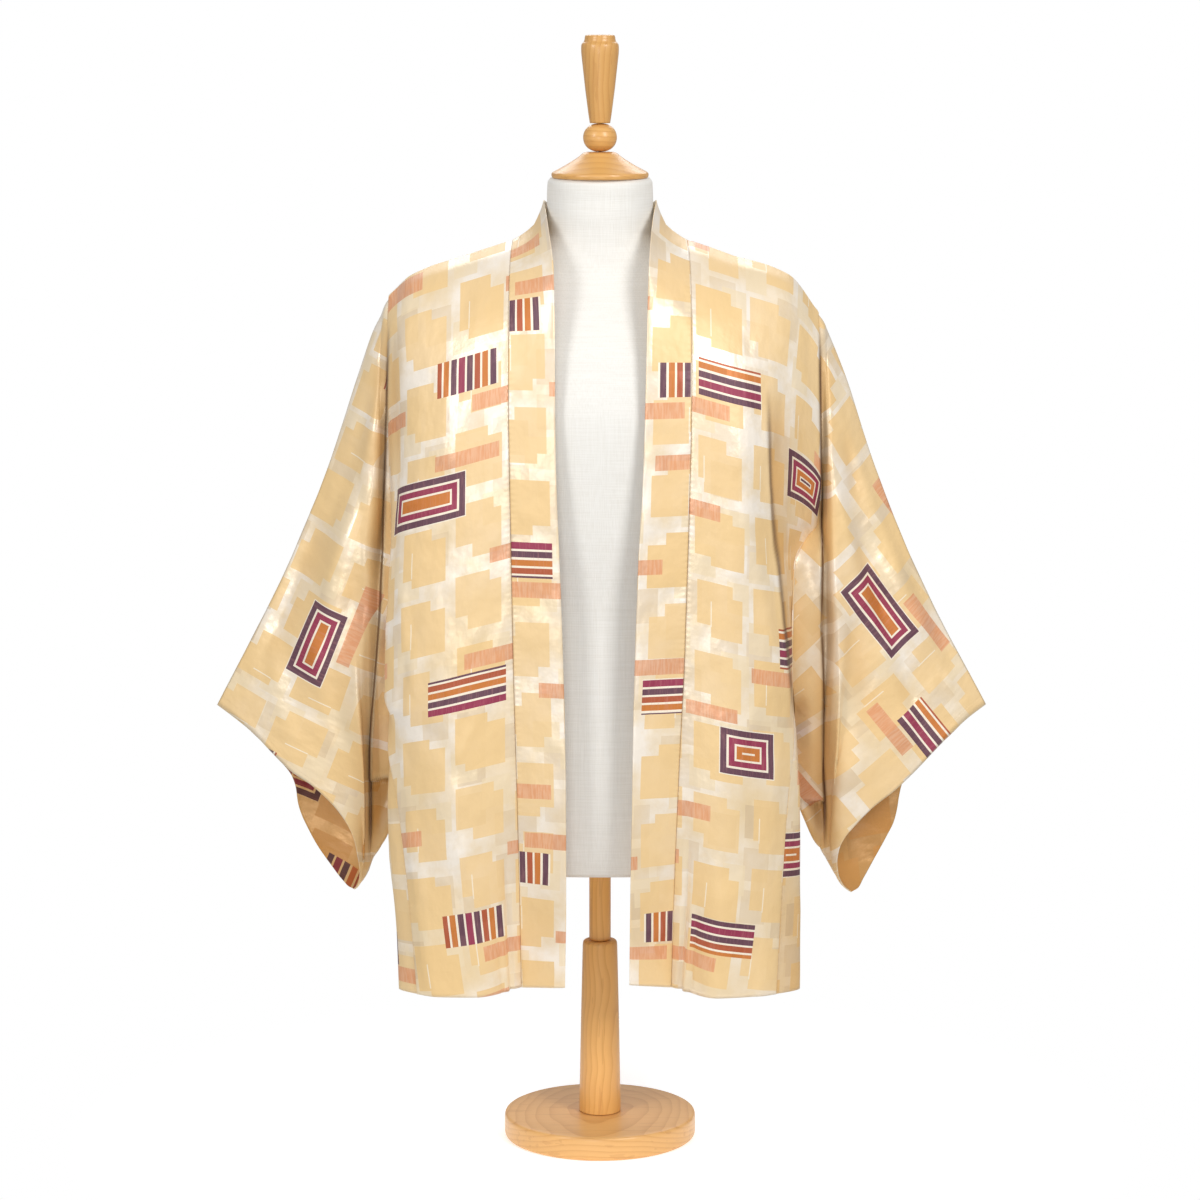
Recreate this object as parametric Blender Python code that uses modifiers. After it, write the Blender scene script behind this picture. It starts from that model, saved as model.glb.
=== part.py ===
"""A haori jacket worn open on a limbless dress form with a turned wooden stand.

Metres, +Z up, the garment's front faces -Y and the wearer's left is +X. The
origin is the centre of the underside of the base disc, on the floor.
Each cloth piece is a sheet lofted through short tables of sections and given
its thickness by a Solidify modifier. The wooden pieces are turned with Screw.
"""
import math

import bmesh
import bpy
import numpy as np

# ------------------------------------------------------------ driving sizes
CLOTH = 0.0016           # thickness of body, gusset and sleeve cloth
BAND = 0.0024            # thickness of the folded collar band
GAP = 0.0003             # gap between neighbouring pieces at a seam
EASE = 0.0005            # shortening of a sheet's edge at a seam
BAND_LIFT = 0.0024       # further clearance of the band where it stands up
ARM_STEP = 0.0024        # step from a panel's armhole edge out to the sleeve

SHOULDER_NECK_X = 0.088  # neck point, from the centre
SHOULDER_NECK_Z = 0.937  # height of the neck point
SHOULDER_TIP_X = 0.2167  # top of the armhole, from the centre
SHOULDER_SLOPE = 0.33    # fall per metre along the shoulder
SHOULDER_ROUND = 0.017   # extra fall where the shoulder rounds over
CREST_Y = 0.008          # depth of the shoulder fold
HEM_Z = 0.181            # height of the hem in front
HEM_RISE = 0.066         # the back hem's extra height at the centre back
HEM_RISE_FROM_Y = -0.05  # depths between which the hem rises
HEM_RISE_TO_Y = 0.125

BASE_RADIUS = 0.100
BASE_HEIGHT = 0.025
BASE_EDGE = 0.0025
ROD_RADIUS = 0.0112
ROD_FOOT_Z = 0.2095      # foot of the rod, just above the top of the post
FORM_BOTTOM_Z = 0.297    # foot of the form

PANEL_ACROSS = 13        # grid points over a body panel's width
SLEEVE_ALONG = 21        # grid points from armhole to cuff
SLEEVE_HALF = 13         # grid points from top fold to bottom fold
TOP_CROWDING = 0.35      # how far those points crowd towards the two folds
COLLAR_ACROSS = 5
GUSSET_ACROSS = 7
FORM_ROUND = 40
FORM_LEVELS = 12         # levels from the form's foot up to its chest
TURNING_STEPS = 40
BALL_STEPS = 10

# Drops at which the panels are sampled: over the shoulder in front and behind,
# and below the armhole, where the panels and the gusset share them.
NECKLINE_DROPS = (0.0, 0.005, 0.010, 0.016, 0.022, 0.027, 0.032)
FRONT_DROPS = (0.0, 0.004, 0.012, 0.026, 0.045, 0.070, 0.100, 0.135, 0.170, 0.205,
               0.240, 0.280)
BACK_DROPS = NECKLINE_DROPS + (0.060, 0.110, 0.160, 0.210, 0.265)
LOWER_DROPS = (0.318, 0.340, 0.360, 0.380, 0.400, 0.440, 0.480, 0.520, 0.560, 0.600,
               0.640, 0.680, 0.720, 0.790, 0.860, 0.930, 1.0)

# Front of a body panel, a row per section from shoulder fold to hem. drop is the
# share of the way down; inner is at the collar, edge at the armhole or the gusset,
# lobe and turn are two places between them.
PANEL_COLUMNS = ("drop", "inner_x", "inner_y", "lobe_x", "lobe_y",
                 "turn_x", "turn_y", "edge_x", "edge_y")
FRONT_RIGHT = (
    (0.000, 0.0880, 0.008, 0.130, 0.008, 0.190, 0.008, 0.2150, 0.008),
    (0.012, 0.0890, -0.024, 0.130, -0.020, 0.190, -0.012, 0.2150, 0.000),
    (0.045, 0.0900, -0.058, 0.130, -0.051, 0.192, -0.036, 0.2152, -0.020),
    (0.100, 0.0905, -0.090, 0.130, -0.082, 0.196, -0.054, 0.2150, -0.029),
    (0.170, 0.0905, -0.108, 0.132, -0.102, 0.200, -0.062, 0.2145, -0.033),
    (0.240, 0.0900, -0.117, 0.134, -0.113, 0.203, -0.068, 0.2140, -0.033),
    (0.318, 0.0890, -0.121, 0.136, -0.119, 0.207, -0.074, 0.2120, -0.028),
    (0.400, 0.0880, -0.122, 0.138, -0.122, 0.213, -0.080, 0.2080, -0.040),
    (0.560, 0.0860, -0.122, 0.140, -0.126, 0.217, -0.084, 0.2120, -0.052),
    (0.640, 0.0845, -0.122, 0.140, -0.128, 0.200, -0.102, 0.2150, -0.080),
    (0.720, 0.0830, -0.121, 0.140, -0.130, 0.190, -0.110, 0.2055, -0.096),
    (0.860, 0.0810, -0.107, 0.132, -0.130, 0.175, -0.119, 0.1940, -0.107),
    (1.000, 0.0800, -0.084, 0.128, -0.127, 0.165, -0.123, 0.1860, -0.112),
)
FRONT_LEFT = (
    (0.000, 0.0880, 0.008, 0.130, 0.008, 0.190, 0.008, 0.2225, 0.008),
    (0.012, 0.0890, -0.024, 0.130, -0.020, 0.188, -0.012, 0.2225, 0.001),
    (0.045, 0.0900, -0.058, 0.130, -0.051, 0.184, -0.036, 0.2225, -0.016),
    (0.100, 0.0905, -0.090, 0.130, -0.082, 0.178, -0.060, 0.2230, -0.024),
    (0.170, 0.0905, -0.108, 0.130, -0.102, 0.173, -0.078, 0.2240, -0.028),
    (0.240, 0.0900, -0.117, 0.130, -0.113, 0.171, -0.088, 0.2245, -0.027),
    (0.318, 0.0885, -0.121, 0.130, -0.119, 0.172, -0.092, 0.2220, -0.016),
    (0.360, 0.0878, -0.122, 0.130, -0.121, 0.174, -0.092, 0.2100, -0.022),
    (0.400, 0.0870, -0.122, 0.130, -0.122, 0.177, -0.092, 0.1985, -0.034),
    (0.480, 0.0853, -0.122, 0.130, -0.124, 0.186, -0.091, 0.1965, -0.048),
    (0.560, 0.0835, -0.122, 0.130, -0.126, 0.1915, -0.092, 0.1955, -0.065),
    (0.640, 0.0805, -0.122, 0.128, -0.128, 0.180, -0.106, 0.1960, -0.088),
    (0.720, 0.0780, -0.121, 0.124, -0.130, 0.172, -0.114, 0.1900, -0.100),
    (0.860, 0.0745, -0.107, 0.122, -0.130, 0.166, -0.120, 0.1840, -0.107),
    (1.000, 0.0725, -0.084, 0.120, -0.127, 0.160, -0.122, 0.1790, -0.112),
)
# Back of a body panel in the same columns, but with edge_x once for the right side
# and once for the left; inner is the neckline and then the centre-back seam.
BACK = (
    (0.000, 0.0880, 0.008, 0.130, 0.008, 0.190, 0.008, 0.2150, 0.2225, 0.008),
    (0.010, 0.0800, 0.040, 0.130, 0.036, 0.190, 0.024, 0.2150, 0.2225, 0.0125),
    (0.022, 0.0500, 0.066, 0.125, 0.055, 0.190, 0.036, 0.2150, 0.2225, 0.017),
    (0.032, 0.0000, 0.078, 0.100, 0.070, 0.190, 0.045, 0.2150, 0.2225, 0.021),
    (0.110, 0.0000, 0.101, 0.100, 0.100, 0.190, 0.068, 0.2150, 0.2235, 0.034),
    (0.210, 0.0000, 0.115, 0.100, 0.118, 0.192, 0.082, 0.2145, 0.2240, 0.035),
    (0.318, 0.0000, 0.122, 0.100, 0.126, 0.194, 0.088, 0.2120, 0.2210, 0.012),
    (0.360, 0.0000, 0.124, 0.100, 0.128, 0.193, 0.089, 0.2070, 0.2080, 0.002),
    (0.400, 0.0000, 0.126, 0.100, 0.130, 0.190, 0.090, 0.2010, 0.1980, -0.004),
    (0.560, 0.0000, 0.130, 0.100, 0.134, 0.187, 0.092, 0.1930, 0.1930, -0.012),
    (0.780, 0.0000, 0.133, 0.110, 0.138, 0.189, 0.096, 0.1960, 0.1960, -0.022),
    (1.000, 0.0000, 0.135, 0.115, 0.140, 0.192, 0.098, 0.2030, 0.2030, -0.032),
)
# The gusset's bend between its two seams: place of the corner by drop.
GUSSET_COLUMNS = ("drop", "right_x", "right_y", "left_x", "left_y")
GUSSET = (
    (0.330, 0.2118, -0.010, 0.2180, -0.004),
    (0.360, 0.2085, -0.012, 0.2085, -0.010),
    (0.400, 0.2050, -0.020, 0.1985, -0.018),
    (0.480, 0.2040, -0.026, 0.1965, -0.030),
    (0.560, 0.2050, -0.032, 0.1945, -0.042),
    (0.640, 0.2100, -0.050, 0.1990, -0.072),
    (0.720, 0.2155, -0.080, 0.2022, -0.083),
    (0.800, 0.2140, -0.085, 0.2030, -0.085),
    (0.900, 0.2075, -0.088, 0.2035, -0.087),
    (1.000, 0.2050, -0.089, 0.2035, -0.088),
)
# Free folded edge of the collar band, a row beside each section of the front of
# a body panel from the shoulder fold to the hem; the back's rows beside its
# first four, up to the centre back. Columns: x, y, z.
FREE_RIGHT = (
    (0.0570, 0.008, 0.9740),
    (0.0515, -0.040, 0.9560),
    (0.0455, -0.079, 0.9150),
    (0.0444, -0.101, 0.8650),
    (0.0440, -0.115, 0.8080),
    (0.0437, -0.121, 0.7540),
    (0.0425, -0.124, 0.6940),
    (0.0400, -0.125, 0.6330),
    (0.0360, -0.126, 0.5120),
    (0.0346, -0.128, 0.4520),
    (0.0337, -0.130, 0.3920),
    (0.0335, -0.128, 0.2860),
    (0.0350, -0.108, 0.1870),
)
FREE_LEFT = (
    (0.0570, 0.008, 0.9740),
    (0.0515, -0.040, 0.9560),
    (0.0478, -0.079, 0.9150),
    (0.0463, -0.101, 0.8650),
    (0.0450, -0.115, 0.8080),
    (0.0436, -0.121, 0.7540),
    (0.0415, -0.124, 0.6940),
    (0.0397, -0.125, 0.6630),
    (0.0380, -0.125, 0.6330),
    (0.0358, -0.125, 0.5720),
    (0.0340, -0.126, 0.5120),
    (0.0325, -0.128, 0.4520),
    (0.0318, -0.130, 0.3920),
    (0.0300, -0.128, 0.2860),
    (0.0292, -0.108, 0.1900),
)
FREE_BACK = (
    (0.0570, 0.008, 0.9740),
    (0.0535, 0.040, 0.9700),
    (0.0340, 0.062, 0.9650),
    (0.0000, 0.072, 0.9620),
)
# Sleeve, a row per section from the body outward: along is the share of the way,
# top, knee and bottom are places on it, front and back its depths, low the share
# of the way down where it is deepest, and pull draws the cuff's edge up the arm.
SLEEVE_COLUMNS = ("along", "top_x", "top_z", "knee_x", "knee_z", "bottom_x", "bottom_z",
                  "front", "back", "low", "pull_front", "pull_back")
SLEEVE_RIGHT = (
    (0.00, 0.2174, 0.8780, 0.2170, 0.6400, 0.2165, 0.3720, 0.036, 0.044, 0.45, 0.000, 0.000),
    (0.10, 0.2215, 0.8630, 0.2265, 0.6000, 0.2270, 0.3250, 0.047, 0.053, 0.45, 0.000, 0.000),
    (0.20, 0.2300, 0.8460, 0.2360, 0.5650, 0.2360, 0.2960, 0.053, 0.057, 0.50, 0.000, 0.000),
    (0.36, 0.2490, 0.8000, 0.2455, 0.5450, 0.2410, 0.2830, 0.055, 0.059, 0.56, 0.002, 0.000),
    (0.56, 0.2750, 0.7130, 0.2610, 0.5150, 0.2460, 0.2740, 0.054, 0.058, 0.60, 0.008, 0.003),
    (0.78, 0.3270, 0.6020, 0.2935, 0.4500, 0.2520, 0.2660, 0.050, 0.055, 0.64, 0.020, 0.008),
    (1.00, 0.3935, 0.4605, 0.3320, 0.3750, 0.2560, 0.2610, 0.048, 0.050, 0.68, 0.035, 0.014),
)
SLEEVE_LEFT = (
    (0.00, 0.2249, 0.8622, 0.2248, 0.6450, 0.2235, 0.3650, 0.030, 0.044, 0.42, 0.000, 0.000),
    (0.10, 0.2300, 0.8480, 0.2315, 0.6100, 0.2295, 0.3300, 0.044, 0.053, 0.45, 0.000, 0.000),
    (0.20, 0.2360, 0.8340, 0.2385, 0.5700, 0.2350, 0.3040, 0.052, 0.057, 0.50, 0.000, 0.000),
    (0.36, 0.2530, 0.7950, 0.2480, 0.5450, 0.2400, 0.2880, 0.054, 0.059, 0.56, 0.002, 0.000),
    (0.56, 0.2790, 0.7120, 0.2640, 0.5200, 0.2450, 0.2780, 0.053, 0.058, 0.60, 0.006, 0.003),
    (0.78, 0.3290, 0.5920, 0.2950, 0.4450, 0.2510, 0.2680, 0.050, 0.055, 0.64, 0.014, 0.008),
    (1.00, 0.3982, 0.4610, 0.3350, 0.3750, 0.2590, 0.2590, 0.048, 0.050, 0.68, 0.026, 0.014),
)
DEPTH_POWER = 0.62       # squareness of a sleeve loop
KNEE_SHARE = 0.45        # share of a sleeve loop's way down where the knee lies
PULL_LOW = 0.72          # share of the way down where the cuff is drawn up most
TUCK_FROM_Z = 0.662      # heights between which a sleeve's free inner edge,
TUCK_FULL_Z = 0.585      # below the armhole, swings in beside the body
TUCK_ALONG = 0.10        # share of the sleeve that swings in
TUCK_RIGHT = 0.007
TUCK_LEFT = 0.0235
ARMHOLE_FADE = 0.02      # height over which the armhole's shape fades out
STEP_POWER = 3           # how soon a sleeve widens out from the armhole
# Largest folds on a sleeve's front. Columns: place along the sleeve, half width,
# depth, and the shares of the way down where the fold starts and is full.
FOLD_FADE = 0.12         # share of the way down over which a fold fades out
FOLDS_RIGHT = ((0.60, 0.16, -0.006, 0.30, 0.60),)
FOLDS_LEFT = ((0.10, 0.035, 0.020, 0.40, 0.58), (0.62, 0.12, 0.006, 0.25, 0.55))
# Form, a row per level: half width, half depth, middle's depth, squareness.
CHEST_Z = 0.8200         # level up to which the trunk is cut into even steps
FORM_COLUMNS = ("z", "half_width", "half_depth", "middle_y", "power")
FORM = (
    (0.2970, 0.1440, 0.0930, 0.004, 2.4),
    (0.3010, 0.1480, 0.0970, 0.004, 2.4),
    (0.3800, 0.1540, 0.1020, 0.004, 2.4),
    (0.4800, 0.1500, 0.0980, 0.002, 2.4),
    (0.5600, 0.1480, 0.0960, 0.000, 2.4),
    (0.6600, 0.1560, 0.1040, -0.002, 2.4),
    (0.7600, 0.1680, 0.1100, -0.002, 2.3),
    (0.8200, 0.1790, 0.1010, 0.002, 2.2),
    (0.8500, 0.1900, 0.0890, 0.005, 2.1),
    (0.8700, 0.1960, 0.0780, 0.007, 2.0),
    (0.8850, 0.1880, 0.0690, 0.009, 2.0),
    (0.8980, 0.1650, 0.0610, 0.010, 2.0),
    (0.9100, 0.1280, 0.0560, 0.011, 2.0),
    (0.9200, 0.0980, 0.0540, 0.011, 2.0),
    (0.9320, 0.0720, 0.0530, 0.011, 2.0),
    (0.9480, 0.0560, 0.0525, 0.010, 2.1),
    (0.9680, 0.0538, 0.0520, 0.008, 2.1),
    (0.9780, 0.0538, 0.0520, 0.008, 2.1),
    (0.9960, 0.0530, 0.0510, 0.006, 2.1),
    (1.0000, 0.0505, 0.0485, 0.006, 2.1),
)

# Turned profiles, radius and height, from the top of the outer side down.
HANDLE = ((0.0, 1.1434), (0.0135, 1.1434), (0.0153, 1.1424), (0.0156, 1.1368),
          (0.0182, 1.1350), (0.0190, 1.1325), (0.0190, 1.1262), (0.0150, 1.0900),
          (0.0118, 1.0650), (0.0103, 1.0554), (0.0, 1.0554))
CAP = ((0.0, 1.0264), (0.0158, 1.0264), (0.0230, 1.0205), (0.0360, 1.0125),
       (0.0480, 1.0062), (0.0491, 1.0050), (0.0491, 1.0022), (0.0480, 1.0003),
       (0.0, 1.0003))
POST = ((0.0, 0.2092), (0.0155, 0.2092), (0.0172, 0.2082), (0.0180, 0.2060),
        (0.0200, 0.1200), (0.0219, 0.0260), (0.0219, 0.0253), (0.0, 0.0253))
BALL_MIDDLE_Z = 1.0409
BALL_RADIUS = 0.0171
BALL_HALF_HEIGHT = 0.0142
BALL_ROUND = 0.8         # squareness of the ball's outline

COLOURS = {
    "silk": ((0.86, 0.73, 0.49), 0.45),
    "linen": ((0.83, 0.81, 0.77), 0.9),
    "wood": ((0.68, 0.43, 0.20), 0.5),
}


# ------------------------------------------------------------ small helpers
def rounded(rows, at):
    """Smooth curve through rows of numbers; column 0 is the place along it.

    Each column is a cubic whose slope at a row is the harmonic mean of the
    slopes on either side, so that it never overshoots a row.
    """
    rows = np.asarray(rows, float)
    at = np.asarray(at, float)
    x, y = rows[:, 0], rows[:, 1:]
    step = np.diff(x)[:, None]
    slope = np.diff(y, axis=0) / step
    before, after = slope[:-1], slope[1:]
    product = before * after
    total = np.where(product > 0, before + after, 1.0)
    middle = np.where(product > 0, 2 * product / total, 0.0)
    ends = np.vstack([slope[:1], middle, slope[-1:]])
    low = np.clip(np.searchsorted(x, at, side="right") - 1, 0, len(x) - 2)
    h = step[low]
    t = ((at - x[low])[:, None]) / h
    return (y[low] * (1 + 2 * t) * (1 - t) ** 2 + ends[low] * h * t * (1 - t) ** 2
            + y[low + 1] * t * t * (3 - 2 * t) - ends[low + 1] * h * t * t * (1 - t))


def sections(names, rows, at):
    """The columns of a table by name, rounded at the given places."""
    return dict(zip(names[1:], rounded(rows, at).T))


def eased(value):
    """0 below 0, 1 above 1 and a smooth step between."""
    value = np.clip(value, 0, 1)
    return value * value * (3 - 2 * value)


def shoulder_z(x):
    """Height of the shoulder fold over x: a straight slope that rounds over."""
    out = np.clip(np.abs(x) - SHOULDER_NECK_X, 0, None)
    share = out / (SHOULDER_TIP_X - SHOULDER_NECK_X)
    return SHOULDER_NECK_Z - SHOULDER_SLOPE * out - SHOULDER_ROUND * share ** 12


def hem_z(y):
    """Height of the hem at a depth: level in front, rising smoothly to the back."""
    return HEM_Z + HEM_RISE * eased((y - HEM_RISE_FROM_Y) / (HEM_RISE_TO_Y - HEM_RISE_FROM_Y))


def at_drop(x, y, drop):
    """Point of a body panel at a share of the way from shoulder to hem."""
    top = shoulder_z(x)
    return np.stack([x, y, top + (hem_z(y) - top) * drop], -1)


def across(points, count):
    """Smooth curves through the control points of each section, count points each."""
    points = np.asarray(points, float)
    out = []
    for section in points:
        reach = np.linalg.norm(np.diff(section, axis=0), axis=1)
        place = np.concatenate([[0], np.cumsum(reach)])[:, None]
        even = np.linspace(0, place[-1, 0], count)
        out.append(rounded(np.hstack([place, section]), even))
    return np.array(out)


def paint(obj, colour):
    material = bpy.data.materials.new(obj.name + "_" + colour)
    material.use_nodes = True
    shader = material.node_tree.nodes["Principled BSDF"]
    base, roughness = COLOURS[colour]
    shader.inputs["Base Color"].default_value = (*base, 1.0)
    shader.inputs["Roughness"].default_value = roughness
    shader.inputs["Metallic"].default_value = 0.0
    obj.data.materials.append(material)


def add(name, mesh, colour, home):
    obj = bpy.data.objects.new(name, mesh)
    home.objects.link(obj)
    paint(obj, colour)
    mesh.shade_smooth()
    return obj


def grid_mesh(name, grid, closed):
    """Quads over a grid of points; closed joins its last column to the first."""
    rows, columns = grid.shape[:2]
    index = np.arange(rows * columns).reshape(rows, columns)
    if closed:
        index = np.hstack([index, index[:, :1]])
    quads = np.stack([index[:-1, :-1], index[:-1, 1:], index[1:, 1:], index[1:, :-1]], -1)
    mesh = bpy.data.meshes.new(name)
    mesh.from_pydata(grid.reshape(-1, 3).tolist(), [], quads.reshape(-1, 4).tolist())
    return mesh


def cloth(name, grid, thickness, home, closed=False):
    """A sheet over the grid's middle surface, with its thickness by Solidify."""
    obj = add(name, grid_mesh(name, grid, closed), "silk", home)
    solid = obj.modifiers.new("thickness", "SOLIDIFY")
    solid.thickness = thickness
    solid.offset = 0.0
    solid.use_even_offset = False
    return obj


def shorten(grid, axis, first, last):
    """Moves the two ends of a grid's lines inward along the cloth."""
    grid = np.moveaxis(grid.copy(), axis, 0)
    for end, beside, much in ((0, 1, first), (-1, -2, last)):
        way = grid[beside] - grid[end]
        size = np.linalg.norm(way, axis=-1, keepdims=True)
        grid[end] += way / np.maximum(size, 1e-9) * np.minimum(much, 0.8 * size)
    return np.moveaxis(grid, 0, axis)


def turned(name, profile, colour, home):
    """Solid of revolution about Z from a profile of radii and heights."""
    mesh = bpy.data.meshes.new(name)
    points = [(radius, 0.0, height) for radius, height in profile]
    edges = [(i, i + 1) for i in range(len(points) - 1)]
    mesh.from_pydata(points, edges, [])
    obj = add(name, mesh, colour, home)
    screw = obj.modifiers.new("turn", "SCREW")
    screw.axis = "Z"
    screw.angle = 2 * math.pi
    screw.steps = TURNING_STEPS
    screw.render_steps = TURNING_STEPS
    screw.use_merge_vertices = True
    screw.merge_threshold = 0.00001
    screw.use_smooth_shade = True
    return obj


# ------------------------------------------------------------ cloth pieces
def back_rows(side):
    """The back's sections with the one edge that belongs to this side."""
    edge_right = PANEL_COLUMNS.index("edge_x")
    edge_left = edge_right + 1
    return np.delete(np.array(BACK), edge_right if side > 0 else edge_left, 1)


def panel_place(rows, word, drops):
    """Points of a panel's inner, lobe, turn or edge line at the given drops."""
    place = sections(PANEL_COLUMNS, rows, drops)
    return at_drop(place[word + "_x"], place[word + "_y"], np.asarray(drops))


def panel_half(rows, drops):
    """Grid over one face of a body panel, from the shoulder fold to the hem."""
    lines = [panel_place(rows, word, drops) for word in ("inner", "lobe", "turn", "edge")]
    return across(np.stack(lines, 1), PANEL_ACROSS)


def body_panel(name, side, front_rows, home):
    """Front and back of one side, cut in one length over the shoulder."""
    front = panel_half(front_rows, FRONT_DROPS + LOWER_DROPS)
    back = panel_half(back_rows(side), BACK_DROPS + LOWER_DROPS)
    back[0] = front[0]
    grid = np.concatenate([front[::-1], back[1:]], 0)
    at_centre = np.abs(grid[:, 0, :1]) < GAP
    grid = shorten(grid, 1, np.where(at_centre, GAP / 2, EASE), GAP / 2)
    grid[..., 0] *= side
    return cloth(name, grid if side > 0 else grid[::-1], CLOTH, home)


def seam_at(rows, drop):
    """The outer edge of a panel and its way into the panel, at the given drops."""
    edge = panel_place(rows, "edge", drop)
    return edge, panel_place(rows, "turn", drop) - edge


def bend_room(way, other):
    """Length to leave at an edge so that two sheets clear each other at a bend."""
    cosine = (way * other).sum(-1) / np.linalg.norm(way, axis=-1)
    cosine = cosine / np.linalg.norm(other, axis=-1)
    return (EASE + CLOTH / 2 * (1 + cosine))[:, None]


def gusset(name, side, front_rows, word, home):
    """Tapering side gusset between the front and back edges of a panel."""
    drop = np.array(LOWER_DROPS[1:])
    front, front_way = seam_at(front_rows, drop)
    back, back_way = seam_at(back_rows(side), drop)
    bend = sections(GUSSET_COLUMNS, GUSSET, drop)
    corner = at_drop(bend[word + "_x"], bend[word + "_y"], drop)
    grid = across(np.stack([front, corner, back], 1), GUSSET_ACROSS)
    grid = shorten(grid, 1, bend_room(front_way, corner - front),
                   bend_room(back_way, corner - back))
    grid[..., 0] *= side
    return cloth(name, grid if side > 0 else grid[::-1], CLOTH, home)


def collar_side(side, front_rows, free_rows):
    """Seam and free edges of one half of the band, from the hem to the centre back."""
    fore = np.array(FRONT_DROPS + LOWER_DROPS)[::-1]
    aft = np.array(NECKLINE_DROPS)[1:]
    rows = back_rows(side)
    seam = np.vstack([panel_place(front_rows, "inner", fore), panel_place(rows, "inner", aft)])
    beside_front = np.hstack([np.array(front_rows)[:, :1], free_rows])
    beside_back = np.hstack([rows[:len(FREE_BACK), :1], FREE_BACK])
    free = np.vstack([rounded(beside_front, fore), rounded(beside_back, aft)])
    both = np.stack([seam, free], 1)
    both[..., 0] *= side
    return both


def collar(home):
    """One long band from hem to hem round the back of the neck."""
    right = collar_side(-1, FRONT_RIGHT, FREE_RIGHT)
    left = collar_side(1, FRONT_LEFT, FREE_LEFT)
    seam, free = np.moveaxis(np.vstack([right, left[-2::-1]]), 1, 0)
    share = np.linspace(0, 1, COLLAR_ACROSS)[None, :, None]
    grid = seam[:, None] * (1 - share) + free[:, None] * share
    stands = np.abs(free[:, 2:] - seam[:, 2:])
    stands = stands / np.linalg.norm(free - seam, axis=1, keepdims=True)
    grid = shorten(grid, 1, EASE + BAND_LIFT * stands, 0.0)
    return cloth("collar_band", grid, BAND, home)


def sleeve_face(row, share, depth, pull, sign):
    """One face of the sleeve's loops: lines from top fold to bottom fold.

    A line runs through its top, knee and bottom. Its depth is a half sine wave
    skewed downward and raised to a power; the pull at the cuff is such a wave
    on the front, and a whole sine wave on the back.
    """
    legs = np.array([0.0, KNEE_SHARE, 1.0])
    line_x = np.stack([row["top_x"], row["knee_x"], row["bottom_x"]])
    line_z = np.stack([row["top_z"], row["knee_z"], row["bottom_z"]])
    place = rounded(np.hstack([legs[:, None], line_x, line_z]), share)
    x, z = place[:, :SLEEVE_ALONG].T, place[:, SLEEVE_ALONG:].T
    skew = (np.log(0.5) / np.log(row["low"]))[:, None]
    wave = np.clip(np.sin(math.pi * share[None] ** skew), 0, None) ** DEPTH_POWER
    if sign < 0:
        skew = math.log(0.5) / math.log(PULL_LOW)
        drawn = np.clip(np.sin(math.pi * share[None] ** skew), 0, None) ** DEPTH_POWER
    else:
        drawn = np.sin(2 * math.pi * share)[None]
    way_x = row["bottom_x"] - row["top_x"]
    way_z = row["bottom_z"] - row["top_z"]
    size = np.hypot(way_x, way_z)
    y = CREST_Y * (1 - share[None]) + sign * depth[:, None] * wave
    x = x + (pull * way_z / size)[:, None] * drawn
    z = z - (pull * way_x / size)[:, None] * drawn
    return np.stack([x, y, z], -1)


def fold_depth(folds, along, share):
    """Sum of the folds: a bell across each one, eased in down its length."""
    total = np.zeros((len(along), len(share)))
    for place, half_width, depth, starts, full in folds:
        bell = np.exp(-((along - place) / half_width) ** 2)[:, None]
        ease = eased((share - starts) / (full - starts))
        end = np.clip((1 - share) / FOLD_FADE, 0, 1)
        total += depth * bell * (ease * end)[None]
    return total


def meet_armhole(face, along, rows):
    """Draws the start of a sleeve face to the panel's armhole edge beside it."""
    edge = seam_at(rows, np.array(FRONT_DROPS + LOWER_DROPS[:1]))[0][::-1]
    near = np.clip(1 - along / TUCK_ALONG, 0, 1)[:, None]
    high = eased((face[..., 2] - TUCK_FROM_Z) / ARMHOLE_FADE)
    for axis, step, power in ((0, ARM_STEP, STEP_POWER), (1, 0.0, 1)):
        goal = np.interp(face[..., 2], edge[:, 2], edge[:, axis]) + step
        face[..., axis] += (goal - face[..., axis]) * near ** power * high
    return face


def sleeve_grid(side, rows, folds, front_rows, tuck):
    """Closed loops from the armhole to the cuff, down the front and up the back."""
    along = np.linspace(0, 1, SLEEVE_ALONG)
    row = sections(SLEEVE_COLUMNS, rows, along)
    even = np.linspace(0, 1, SLEEVE_HALF)
    crowded = 0.5 - 0.5 * np.cos(math.pi * even)
    down = TOP_CROWDING * crowded + (1 - TOP_CROWDING) * even
    fore = sleeve_face(row, down, row["front"], row["pull_front"], -1)
    fore[..., 1] += fold_depth(folds, along, down)
    aft = sleeve_face(row, down[::-1][1:-1], row["back"], row["pull_back"], 1)
    fore = meet_armhole(fore, along, front_rows)
    fore[:, 0, 1] = CREST_Y
    aft = meet_armhole(aft, along, back_rows(side))
    grid = np.concatenate([fore, aft], 1)
    swing = eased((TUCK_FROM_Z - grid[..., 2]) / (TUCK_FROM_Z - TUCK_FULL_Z))
    grid[..., 0] -= tuck * swing * np.clip(1 - along / TUCK_ALONG, 0, 1)[:, None]
    return grid


def sleeve(name, side, rows, folds, front_rows, tuck, home):
    grid = sleeve_grid(side, rows, folds, front_rows, tuck)
    grid[..., 0] *= side
    return cloth(name, grid if side < 0 else grid[::-1], CLOTH, home, closed=True)


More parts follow.
